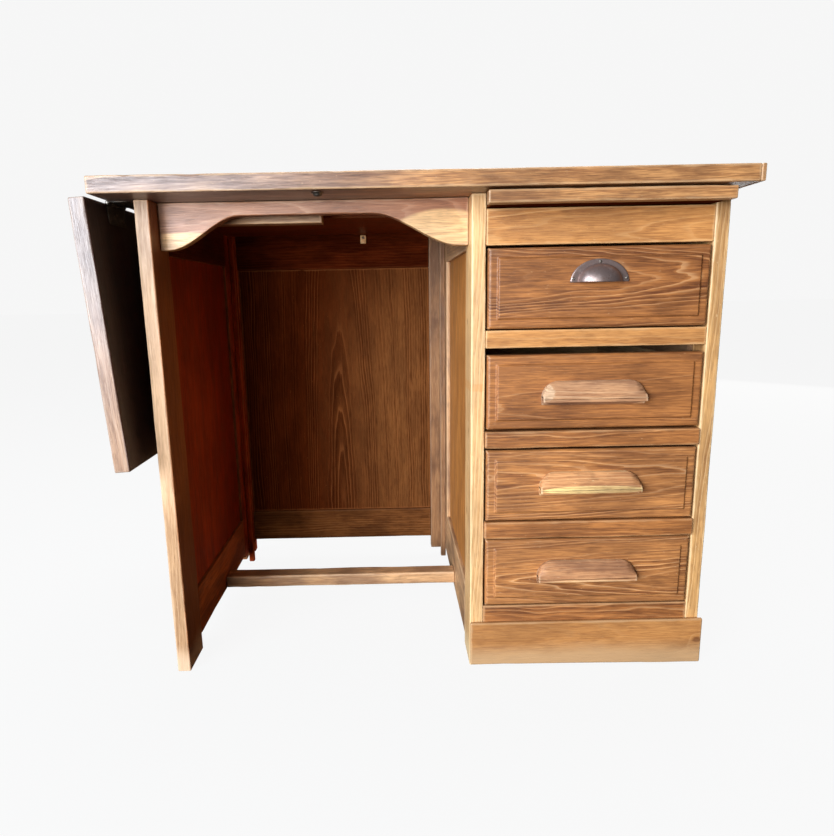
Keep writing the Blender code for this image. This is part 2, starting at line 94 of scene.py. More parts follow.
# ------------------------------------------------------------------------- finishes
@dataclass(frozen=True)
class Oak:
    """One waxed oak finish; colours are linear.

    Attributes:
        name: name of the finish.
        slot: material slot that it is meant for; not used.
        light, dark: early wood between the pores, and rings and streaks.
        pore: pores, stains and knots.
        rubbed: wood that wear has laid bare.
        figure, streak, blotch: strength of the rings, streaks and cloudy stains.
        ring: width of a growth ring.
        rub: strength of the rubbing on the edges.
        roughness, coat, specular: how dull the wood is, and how much wax is on it.
    """

    name: str
    slot: str
    light: Rgb
    dark: Rgb
    pore: Rgb
    rubbed: Rgb
    figure: float = 0.40
    streak: float = 0.65
    blotch: float = 0.32
    ring: float = 0.0055
    rub: float = 0.55
    roughness: float = 0.42
    coat: float = 0.12
    specular: float = 0.45


@dataclass(frozen=True)
class Knot:
    """A knot in a board.

    Attributes:
        along, across: its place from the board's middle, by the grain.
        radius: its radius.
    """

    along: float
    across: float
    radius: float = 0.006


@dataclass(frozen=True)
class Patch:
    """Oval area of another colour.

    Attributes:
        along, across: its place from the board's middle, by the grain.
        half_length, half_width: its reach along and across the grain.
        colour: its colour.
        strength: how much of the board's own colour it hides.
        ragged: how far its edge follows the streaks.
        soft: width of its edge as a share of its reach.
    """

    along: float
    across: float
    half_length: float
    half_width: float
    colour: Rgb
    strength: float = 0.75
    ragged: float = 0.7
    soft: float = 0.06


@dataclass(frozen=True)
class Metal:
    """Patinated metal.

    Attributes:
        name: name of the finish.
        slot: material slot that it is meant for; not used.
        base, bright, rust: the dull body, the rubbed spots and the brown specks.
        roughness, metallic: its dullness, and how far it shines like bare metal.
    """

    name: str
    slot: str
    base: Rgb
    bright: Rgb
    rust: Rgb
    roughness: float = 0.40
    metallic: float = 0.90


TOP_OAK = Oak("top_oak", "oak_top", (0.53, 0.265, 0.105), (0.20, 0.075, 0.027),
              (0.05, 0.02, 0.010), (0.62, 0.39, 0.21), roughness=0.38, coat=0.35)
LEAF_OAK = replace(TOP_OAK, name="leaf_oak", light=(0.40, 0.25, 0.185), dark=(0.19, 0.10, 0.066),
                   rubbed=(0.44, 0.32, 0.25), streak=0.50, blotch=0.20)
STILE_OAK = Oak("stile_oak", "oak_frame", (0.62, 0.405, 0.250), (0.39, 0.225, 0.120),
                (0.22, 0.10, 0.050), (0.72, 0.50, 0.33), figure=0.30, streak=0.45, blotch=0.10,
                roughness=0.44, coat=0.12, specular=0.3)
APRON_OAK = Oak("apron_oak", "oak_frame", (0.44, 0.190, 0.098), (0.215, 0.078, 0.037),
                (0.12, 0.055, 0.03), (0.64, 0.42, 0.28), streak=0.45, blotch=0.12, coat=0.60)
FRAME_OAK = Oak("frame_oak", "oak_frame", (0.60, 0.36, 0.19), (0.30, 0.14, 0.06),
                (0.12, 0.045, 0.018), (0.72, 0.48, 0.28), figure=0.35, streak=0.50, coat=0.25)
# Painted shade: a darker copy of the frame finish for the back frame's right uprights, in the kneehole's shade.
SHADED_FRAME_OAK = replace(FRAME_OAK, name="shaded_frame_oak", light=(0.31, 0.165, 0.082),
                    dark=(0.145, 0.060, 0.025), rubbed=(0.38, 0.24, 0.15), coat=0.0, specular=0.25)
# Painted shade: near-black red for the kneehole's back top rail, which lies in deep shade.
KNEE_SHADOW_OAK = Oak("knee_shadow_oak", "oak_frame", (0.105, 0.019, 0.005), (0.042, 0.0055, 0.0015),
               (0.018, 0.003, 0.001), (0.15, 0.05, 0.018), streak=0.50, rub=0.25, coat=0.0,
               specular=0.0)
PALE_OAK = Oak("pale_oak", "oak_pale", (0.80, 0.50, 0.235), (0.54, 0.27, 0.095),
               (0.24, 0.09, 0.03), (0.92, 0.67, 0.38), figure=0.50, streak=0.40, blotch=0.12,
               roughness=0.46)
RIGHT_OAK = replace(PALE_OAK, name="right_oak", light=(0.70, 0.395, 0.155),
                    dark=(0.42, 0.20, 0.064), pore=(0.20, 0.075, 0.025), figure=0.60, blotch=0.20)
HONEY_OAK = Oak("honey_oak", "oak_honey", (0.61, 0.285, 0.093), (0.36, 0.138, 0.038),
                (0.16, 0.05, 0.014), (0.78, 0.47, 0.22), streak=0.50, blotch=0.18)
PLINTH_OAK = replace(HONEY_OAK, name="plinth_oak", light=(0.53, 0.245, 0.080),
                     dark=(0.32, 0.122, 0.035), rubbed=(0.54, 0.34, 0.18))
FRONT_OAK = Oak("front_oak", "oak_dark", (0.56, 0.240, 0.078), (0.185, 0.060, 0.018),
                (0.06, 0.016, 0.006), (0.70, 0.42, 0.22), figure=0.55, streak=0.52, blotch=0.20,
                ring=0.0038, rub=0.60)
UPPER_FRONT_OAK = replace(FRONT_OAK, name="upper_front_oak", light=(0.42, 0.165, 0.050),
                          dark=(0.135, 0.040, 0.0115), rubbed=(0.56, 0.31, 0.15))
# Painted shade: deep red for the back frame's left uprights, in the kneehole's shade.
WARM_KNEE_SHADOW_OAK = replace(KNEE_SHADOW_OAK, name="warm_knee_shadow_oak", light=(0.42, 0.060, 0.014),
                        dark=(0.20, 0.023, 0.005), rubbed=(0.48, 0.17, 0.06))
SIDE_OAK = replace(KNEE_SHADOW_OAK, name="side_oak", light=(0.37, 0.160, 0.062),
                   dark=(0.175, 0.062, 0.021), rubbed=(0.46, 0.25, 0.12), specular=0.2)
LOW_SIDE_OAK = replace(SIDE_OAK, name="low_side_oak", light=(0.46, 0.230, 0.100),
                       dark=(0.25, 0.102, 0.042), rubbed=(0.50, 0.33, 0.20))
SIDE_PANEL_OAK = replace(SIDE_OAK, name="side_panel_oak", slot="oak_panel",
                         light=(0.27, 0.100, 0.036), dark=(0.107, 0.030, 0.010),
                         rubbed=(0.30, 0.14, 0.06), streak=0.45, blotch=0.16)
# Painted shade: the kneehole's back bottom rail, darkened by the shade.
BACK_RAIL_SHADOW_OAK = replace(KNEE_SHADOW_OAK, name="back_rail_oak", light=(0.175, 0.068, 0.022),
                        dark=(0.080, 0.026, 0.008), rubbed=(0.24, 0.12, 0.06))
# Painted shade: dark red panel wood in shade, used for the board under the top; the lit panel finish below is its
# lit copy.
SHADOW_PANEL_OAK = Oak("panel_oak", "oak_panel", (0.240, 0.050, 0.014), (0.095, 0.014, 0.0035),
                (0.025, 0.004, 0.0015), (0.26, 0.09, 0.03), streak=0.45, blotch=0.16, coat=0.0,
                specular=0.10)
# Painted shade: near-black red for boards in deep shade, the kneehole's back panel, the slide board and the
# pedestal's back.
BACK_SHADOW_OAK = replace(SHADOW_PANEL_OAK, name="back_oak", light=(0.100, 0.021, 0.0050),
                   dark=(0.040, 0.0065, 0.0013), figure=0.55, specular=0.0)
RAIL_OAK = replace(FRONT_OAK, name="rail_oak", light=(0.47, 0.185, 0.055),
                   dark=(0.150, 0.046, 0.0135), rubbed=(0.58, 0.32, 0.15))
# Painted light: the lit tone where window light falls on the back panel's right part; it also covers most of the
# pedestal's back.
LIT_BACK_TONE: Rgb = (0.225, 0.092, 0.030)
# Painted light: the lit copy of the shaded panel finish, for the middle and right panels.
LIT_PANEL_OAK = replace(SHADOW_PANEL_OAK, name="lit_panel_oak", light=(0.54, 0.225, 0.055),
                        dark=(0.28, 0.090, 0.020), pore=(0.12, 0.035, 0.01), specular=0.3)
BARE_OAK = Oak("bare_oak", "drawer_wood", (0.64, 0.44, 0.25), (0.42, 0.25, 0.12),
               (0.20, 0.10, 0.045), (0.66, 0.48, 0.30), streak=0.45, blotch=0.18,
               roughness=0.70, coat=0.0, rub=0.2)
DUSTY_OAK = replace(BARE_OAK, name="dusty_oak", light=(0.26, 0.15, 0.08), dark=(0.15, 0.08, 0.04),
                    rubbed=(0.30, 0.19, 0.11))
GUNMETAL = Metal("gunmetal", "gunmetal", (0.28, 0.205, 0.19), (0.50, 0.41, 0.40),
                 (0.16, 0.075, 0.05), roughness=0.47, metallic=0.72)
OLD_STEEL = Metal("old_steel", "hinge_steel", (0.16, 0.14, 0.12), (0.42, 0.39, 0.35),
                  (0.14, 0.06, 0.03), roughness=0.45)


# ------------------------------------------------------------------- shader building
class Flow:
    """A value that runs through a material's tree; plain arithmetic signs work on it."""

    def __init__(self, web: "Web", socket: bpy.types.NodeSocket) -> None:
        """Hold an output socket and the web that it belongs to."""
        self.web, self.socket = web, socket

    def __add__(self, other: "Fed") -> "Flow":
        """Sum."""
        return self.web.math("ADD", self, other)

    def __sub__(self, other: "Fed") -> "Flow":
        """Difference."""
        return self.web.math("SUBTRACT", self, other)

    def __mul__(self, other: "Fed") -> "Flow":
        """Product."""
        return self.web.math("MULTIPLY", self, other)

    def __truediv__(self, other: "Fed") -> "Flow":
        """Quotient."""
        return self.web.math("DIVIDE", self, other)

    def __abs__(self) -> "Flow":
        """Size without its sign."""
        return self.web.math("ABSOLUTE", self)


Fed = Union[float, int, Sequence[float], Flow]


class Web:
    """Short way to lay shader nodes in one material's tree."""

    def __init__(self, name: str) -> None:
        """Start a material with an empty tree.

        Args:
            name: name of the material.
        """
        self.material = bpy.data.materials.new(name)
        self.material.use_nodes = True
        self.tree = self.material.node_tree
        self.shader = self.tree.nodes["Principled BSDF"]

    def node(self, kind: str, **settings: object) -> bpy.types.Node:
        """Add a node.

        Args:
            kind: its type, such as ShaderNodeMath.
            **settings: its properties.

        Returns:
            The node.
        """
        made = self.tree.nodes.new(kind)
        for key, value in settings.items():
            setattr(made, key, value)
        return made

    def feed(self, socket: bpy.types.NodeSocket, value: Fed) -> None:
        """Link a flow to an input, or set the input to a number or a colour.

        Args:
            socket: the input.
            value: what it gets.
        """
        if isinstance(value, Flow):
            self.tree.links.new(value.socket, socket)
        elif isinstance(value, (int, float)):
            socket.default_value = float(value)
        elif socket.type == "RGBA":
            socket.default_value = (*value, 1.0)
        else:
            socket.default_value = tuple(value)

    def shade(self, **inputs: Fed) -> None:
        """Feed the shader's inputs, named with an underscore for each space."""
        for name, value in inputs.items():
            self.feed(self.shader.inputs[name.replace("_", " ")], value)

    def step(self, kind: str, values: Sequence[Fed], output: int = 0, **settings: object) -> Flow:
        """Add a node and feed its first inputs.

        Args:
            kind: type of the node.
            values: what its inputs get, in order.
            output: which of its outputs is wanted.
            **settings: its properties.

        Returns:
            The output's flow.
        """
        made = self.node(kind, **settings)
        for socket, value in zip(made.inputs, values):
            self.feed(socket, value)
        return Flow(self, made.outputs[output])

    def math(self, operation: str, *values: Fed, clamp: bool = False) -> Flow:
        """One arithmetic step on numbers.

        Args:
            operation: name of the step.
            *values: the numbers.
            clamp: whether the result is kept between 0 and 1.

        Returns:
            The result.
        """
        return self.step("ShaderNodeMath", values, operation=operation, use_clamp=clamp)

    def distance(self, first: Flow, second: Flow) -> Flow:
        """Length of the long side of a right-angled triangle."""
        return self.math("SQRT", first * first + second * second)

    def fade(self, value: Fed, start: float, end: float) -> Flow:
        """Smooth step.

        Args:
            value: the number that is judged.
            start: where the step is 0.
            end: where the step is 1.

        Returns:
            The step.
        """
        return self.step("ShaderNodeMapRange", (value, start, end, 0.0, 1.0),
                         interpolation_type="SMOOTHSTEP")

    def noise(self, vector: Fed, scale: float = 1.0, detail: float = 2.0,
              roughness: float = 0.5) -> Flow:
        """Cloudy noise of about 0.5 on average.

        Args:
            vector: place in the noise.
            scale: clouds for each unit of length.
            detail: how many finer layers are added.
            roughness: how strong they are.

        Returns:
            The noise.
        """
        made = self.node("ShaderNodeTexNoise")
        for key, value in (("Vector", vector), ("Scale", scale), ("Detail", detail),
                           ("Roughness", roughness)):
            self.feed(made.inputs[key], value)
        return Flow(self, made.outputs["Fac"])

    def combine(self, x: Fed, y: Fed, z: Fed) -> Flow:
        """Vector of three numbers."""
        return self.step("ShaderNodeCombineXYZ", (x, y, z))

    def mix(self, factor: Fed, first: Fed, second: Fed, mode: str = "MIX") -> Flow:
        """Blend two colours.

        Args:
            factor: share of the second colour.
            first, second: the colours.
            mode: how they are blended.

        Returns:
            The blend.
        """
        made = self.node("ShaderNodeMix", data_type="RGBA", blend_type=mode)
        for place, value in ((0, factor), (6, first), (7, second)):
            self.feed(made.inputs[place], value)
        return Flow(self, made.outputs[2])

    def bump(self, height: Fed, strength: float, distance: float) -> None:
        """Let a height field tilt the shader's normal.

        Args:
            height: the field.
            strength: share of the full effect.
            distance: height in metres of one unit of the field.
        """
        made = self.node("ShaderNodeBump")
        for key, value in (("Height", height), ("Strength", strength), ("Distance", distance)):
            self.feed(made.inputs[key], value)
        self.shade(Normal=Flow(self, made.outputs[0]))

    def place(self) -> tuple[Flow, ...]:
        """Object coordinates as separate numbers.

        Returns:
            The three numbers.
        """
        where = self.node("ShaderNodeTexCoord").outputs["Object"]
        parts = self.node("ShaderNodeSeparateXYZ")
        self.feed(parts.inputs[0], Flow(self, where))
        return tuple(Flow(self, output) for output in parts.outputs)


@dataclass
class OakDressing:
    """Oak finish drawn in the directions of one board.

    Attributes:
        finish: colours and strengths.
        grain: direction of the fibres.
        low, high: the board's corners, which centre the figure and find its edges.
        cut: how the board was sawn.
        seed: number that makes the board's figure its own.
        knots: knots in the board.
        patches: areas of another colour.
        raw_height: height up to which the wood is scuffed back to raw, pale wood.
        lean: angle that the board's thickness direction is turned from its world axis.
        painted_inner_shade: painted shade, what the colour is multiplied by on the far face in shade.
    """

    finish: Oak
    grain: Grain
    low: Vector
    high: Vector
    cut: Cut = Cut.RIFT
    seed: int = 0
    knots: tuple[Knot, ...] = ()
    patches: tuple[Patch, ...] = ()
    raw_height: float = 0.0
    lean: float = 0.0
    painted_inner_shade: Optional[Rgb] = None

    def axes(self) -> tuple[int, int, int]:
        """World axes of the board.

        Returns:
            The axes along the grain, across the wide face and through the thickness.
        """
        along = self.grain.value
        size = self.high - self.low
        others = sorted((axis for axis in range(3) if axis != along), key=lambda axis: -size[axis])
        return along, others[0], others[1]

    def local_place(self, web: Web) -> list[Flow]:
        """Place from the board's middle along, across and through the board.

        Args:
            web: the material's web.

        Returns:
            The three distances.
        """
        middle = (self.low + self.high) / 2
        place = web.place()
        local = [place[axis] - middle[axis] for axis in self.axes()]
        if self.lean:
            local[2] = local[2] + (place[2] - middle[2]) * math.tan(self.lean)
        return local

    def away_from(self, web: Web, spot: Union[Knot, Patch], local: Sequence[Flow],
                  scale: tuple[float, float]) -> Flow:
        """Distance from a knot's or patch's middle, on scaled directions.

        Args:
            web: the material's web.
            spot: the knot or patch.
            local: place on the board.
            scale: what the distances along and across are multiplied by.

        Returns:
            The distance.
        """
        return web.distance((local[0] - spot.along) * scale[0], (local[1] - spot.across) * scale[1])

    def rubbed_edges(self, web: Web, local: Sequence[Flow], patchy: Flow) -> Flow:
        """How far each point is rubbed: it follows the distance to the second nearest face.

        Args:
            web: the material's web.
            local: place on the board.
            patchy: noise that makes the rubbing uneven.

        Returns:
            The share of rubbed wood.
        """
        half = (self.high - self.low) / 2
        gaps = [abs(value) - half[axis] for value, axis in zip(local, self.axes())]
        nearest = web.math("MAXIMUM", gaps[0], gaps[1])
        other = web.math("MINIMUM", gaps[0], gaps[1])
        second = web.math("MAXIMUM", other, web.math("MINIMUM", nearest, gaps[2]))
        return web.fade(second + (patchy - 0.5) * 0.006, -0.0042, -0.0004) * self.finish.rub

    def material(self, name: str) -> bpy.types.Material:
        """Build the material.

        Growth rings are shells round the tree's heart: the distance of a point from a
        line that leans through the board, made uneven by noise that is drawn out along
        the grain. Pore streaks are noise drawn out much further.

        Args:
            name: name of the material.

        Returns:
            The new material.
        """
        web = Web(name)
        finish, seed = self.finish, self.seed
        local = self.local_place(web)
        along, across, through = local
        moved = [value + seed * step for value, step in zip(local, (0.731, 1.377, 2.113))]

        def drawn(stretch: float, width: float, detail: float = 2.0,
                  roughness: float = 0.5) -> Flow:
            """Noise in cells that are drawn out along the grain.

            Args:
                stretch: length of a cell along the grain.
                width: its width across the grain.
                detail: how many finer layers are added.
                roughness: how strong they are.

            Returns:
                The noise.
            """
            cells = web.combine(moved[0] / stretch, moved[1] / width, moved[2] / width)
            return web.noise(cells, 1.0, detail, roughness)

        heart_across, heart_depth, lean = self.cut.value
        side = 1.0 if seed % 2 else -1.0
        waver = drawn(0.09, 0.014) - 0.5
        depth = along * (lean * side) + heart_depth + through
        radius = web.distance(across - heart_across * side, depth)
        radius = radius + (drawn(0.34, 0.06) - 0.5) * 0.022 + waver * 0.0045
        knot_dark: Fed = 0.0
        for knot in self.knots:
            away = self.away_from(web, knot, local, (0.62, 1.0))
            near = web.math("EXPONENT", away / (-2.2 * knot.radius))
            radius = radius + near * (2.4 * knot.radius)
            spot = web.fade(away + waver * knot.radius, knot.radius, 0.35 * knot.radius)
            knot_dark = web.math("MAXIMUM", knot_dark, spot)
        phase = radius / finish.ring
        saw = web.math("FRACT", phase)
        uneven = web.noise(web.combine(phase * 0.37, seed * 1.7, 0.0), detail=1.0)
        rings = web.fade(saw, 0.0, 0.75) * web.fade(saw, 1.0, 0.88) * web.fade(uneven, 0.25, 0.75)

        streaks = (drawn(0.120, 0.0060, 2.0, 0.6) * 0.24 + drawn(0.055, 0.0022, 3.0, 0.6) * 0.33
                   + drawn(0.034, 0.0011, 1.0) * 0.43)
        coarse = web.fade(streaks, 0.585, 0.425)
        fine = web.fade(drawn(0.020, 0.0012, 2.0, 0.6), 0.50, 0.68)
        tone = web.math("ADD", rings * finish.figure, coarse * finish.streak, clamp=True)
        cloud = drawn(0.13, 0.045, 4.0, 0.6)
        light: Fed = finish.light
        for patch in self.patches:
            away = self.away_from(web, patch, local, (1 / patch.half_length, 1 / patch.half_width))
            away = away + (streaks - 0.5) * (2.0 * patch.ragged)
            share = web.fade(away, 1.0 + patch.soft, 1.0 - patch.soft) * patch.strength
            light = web.mix(share, light, patch.colour)
        grain_shade = tuple(dark / pale for dark, pale in zip(finish.dark, finish.light))
        colour = web.mix(tone, light, web.mix(1.0, light, grain_shade, "MULTIPLY"))
        pores = fine * (0.4 + 0.6 * finish.streak) * (rings * 0.55 + 0.45)
        colour = web.mix(pores * 0.80, colour, finish.pore)
        crest = web.fade(saw, 0.24, 0.03) * web.fade(uneven, 0.38, 0.62)
        colour = web.mix(crest * (0.9 * finish.figure), colour, finish.rubbed)

        dim = tuple(1.0 - share * finish.blotch for share in (1.0, 1.15, 1.15))
        glow = tuple(1.0 + share * finish.blotch for share in (0.75, 0.65, 0.40))
        clouded = web.mix(web.fade(cloud, 0.38, 0.62), dim, glow)
        colour = web.mix(1.0, colour, clouded, "MULTIPLY")
        stain = web.fade(drawn(0.05, 0.02, 4.0), 0.60, 0.72) * (1.1 * finish.blotch)
        colour = web.mix(stain, colour, finish.pore)
        fleck = web.fade(drawn(0.006, 0.0026), 0.69, 0.76) * (0.55 * finish.rub)
        colour = web.mix(fleck, colour, finish.rubbed)
        edges = self.rubbed_edges(web, local, drawn(0.03, 0.012, 3.0))
        colour = web.mix(edges, colour, finish.rubbed)
        if self.knots:
            colour = web.mix(knot_dark * 0.8, colour, finish.pore)
        # Painted shade: on the far face, which lies in shade, the colour is multiplied by a tint, mostly darker
        # and redder.
        if self.painted_inner_shade:
            half_thickness = (self.high - self.low)[self.axes()[2]] / 2
            inner = web.fade(through, 0.70 * half_thickness, 0.97 * half_thickness)
            colour = web.mix(inner, colour, web.mix(1.0, colour, self.painted_inner_shade, "MULTIPLY"))
        if self.raw_height:
            ragged = web.place()[2] + cloud * (-0.6 * self.raw_height)
            raw = web.fade(ragged, 0.75 * self.raw_height, 0.0) * 0.75
            colour = web.mix(raw, colour, finish.rubbed)

        gloss = web.math("ADD", cloud * 0.16 + (finish.roughness - 0.08), coarse * 0.08, clamp=True)
        web.shade(Base_Color=colour, Roughness=gloss, Coat_Weight=finish.coat,
                  Coat_Roughness=0.36, Specular_IOR_Level=finish.specular)
        web.bump(cloud * 0.5 - pores * 0.8 - coarse * 0.35, 0.45, 0.0009)
        return web.material


def metal_material(name: str, finish: Metal) -> bpy.types.Material:
    """Patinated metal: fine casting grain, bright rubs and brown specks.

    Args:
        name: name of the material.
        finish: its colours.

    Returns:
        The new material.
    """
    web = Web(name)
    here = web.combine(*web.place())
    worn = web.fade(web.noise(here, 70.0, 4.0, 0.6), 0.50, 0.70)
    specks = web.fade(web.noise(here, 420.0, 3.0, 0.6), 0.58, 0.70)
    colour = web.mix(worn * 0.55, finish.base, finish.bright)
    colour = web.mix(specks * 0.6, colour, finish.rust)
    web.shade(Base_Color=colour, Roughness=specks * 0.25 + (finish.roughness - 0.08),
              Metallic=finish.metallic)
    web.bump(web.noise(here, 900.0, 3.0), 0.2, 0.0003)
    return web.material


# ---------------------------------------------------------------------- mesh building
def ripple(position: np.ndarray, random: np.random.Generator, longest: float) -> np.ndarray:
    """Smooth random wave from 0 to 1: a sum of sines, each half as long as the last.

    Args:
        position: places along an edge.
        random: seeded source of the sines' phases.
        longest: wavelength of the first sine.

    Returns:
        The wave at each place.
    """
    wave = np.zeros_like(position)
    for octave in range(4):
        phase = random.uniform(0, 2 * math.pi)
        stretch = random.uniform(0.8, 1.25) * longest / 2**octave
        wave += 0.5**octave * np.sin(2 * math.pi * position / stretch + phase)
    return np.clip(0.5 + wave / 3.2, 0.0, 1.0)


def dents(position: np.ndarray, random: np.random.Generator, spacing: float,
          depth: float) -> np.ndarray:
    """Sum of small bell-shaped nicks at random places along an edge.

    Args:
        position: places along the edge.
        random: seeded source of the nicks.
        spacing: mean distance between nicks.
        depth: depth of the deepest.

    Returns:
        The depth at each place.
    """
    length = float(np.ptp(position)) or 1.0
    count = max(1, int(length / spacing))
    total = np.zeros_like(position)
    for _ in range(count):
        centre = position.min() + length * random.uniform()
        width = random.uniform(0.003, 0.012)
        total += depth * random.uniform(0.2, 1.0) * np.exp(-(((position - centre) / width) ** 2))
    return total


def grid_object(name: str, grid: np.ndarray, body: str, wrap_rows: bool = False,
                wrap_columns: bool = True, smooth: bool = True) -> bpy.types.Object:
    """Object from a grid of points, with quads between neighbours and doubles merged.

    Args:
        name: name of the piece.
        grid: points, rows by columns by 3.
        body: CAD body that it rides on.
        wrap_rows: whether the last row joins the first.
        wrap_columns: whether the last column joins the first.
        smooth: whether its faces shade smoothly.

    Returns:
        The object, at the origin.
    """
    rows, columns = grid.shape[:2]
    row = np.arange(rows if wrap_rows else rows - 1)
    column = np.arange(columns if wrap_columns else columns - 1)
    here, there = np.meshgrid(row, column, indexing="ij")
    after, beside = (here + 1) % rows, (there + 1) % columns
    faces = np.stack([here * columns + there, here * columns + beside,
                      after * columns + beside, after * columns + there], axis=-1).reshape(-1, 4)
    mesh = bpy.data.meshes.new(name)
    mesh.from_pydata(grid.reshape(-1, 3).tolist(), [], faces.tolist())
    shape = bmesh.new()
    shape.from_mesh(mesh)
    bmesh.ops.remove_doubles(shape, verts=shape.verts, dist=0.000004)
    bmesh.ops.dissolve_degenerate(shape, edges=shape.edges, dist=0.000002)
    bmesh.ops.recalc_face_normals(shape, faces=shape.faces)
    shape.to_mesh(mesh)
    shape.free()
    mesh.shade_smooth() if smooth else mesh.shade_flat()
    made = bpy.data.objects.new(name, mesh)
    bpy.context.scene.collection.objects.link(made)
    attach(made, body)
    return made


def loft_section(low_across: np.ndarray, high_across: np.ndarray, low_through: np.ndarray,
                 high_through: np.ndarray, radius: np.ndarray, arc: int = 4) -> np.ndarray:
    """Rounded rectangles, one for each station along a board.

    Each corner is a quarter circle between two points that keep the flats flat.

    Args:
        low_across, high_across, low_through, high_through: the rectangle's sides.
        radius: corner radii, stations by 4.
        arc: steps in each quarter circle.

    Returns:
        Points, stations by columns by 2 (across, through).
    """
    columns = []
    keep = 0.0011
    for corner, (side_a, side_t) in enumerate(((1, 1), (-1, 1), (-1, -1), (1, -1))):
        round_off = np.minimum(radius[:, corner], 0.45 * (high_through - low_through))
        edge_a = high_across if side_a > 0 else low_across
        edge_t = high_through if side_t > 0 else low_through
        centre_a, centre_t = edge_a - side_a * round_off, edge_t - side_t * round_off
        turns = QUARTER_TURN * (corner + np.linspace(0, 1, arc + 1))
        arcs = [np.stack([centre_a + round_off * math.cos(turn),
                          centre_t + round_off * math.sin(turn)], axis=-1) for turn in turns]
        flat = np.minimum(keep, 0.3 * (high_through - low_through - 2 * round_off).clip(0))
        if corner % 2 == 0:
            first = np.stack([edge_a, centre_t - side_t * flat], axis=-1)
            last = np.stack([centre_a - side_a * flat, edge_t], axis=-1)
        else:
            first = np.stack([centre_a - side_a * flat, edge_t], axis=-1)
            last = np.stack([edge_a, centre_t - side_t * flat], axis=-1)
        columns += [first, *arcs, last]
    return np.stack(columns, axis=1)


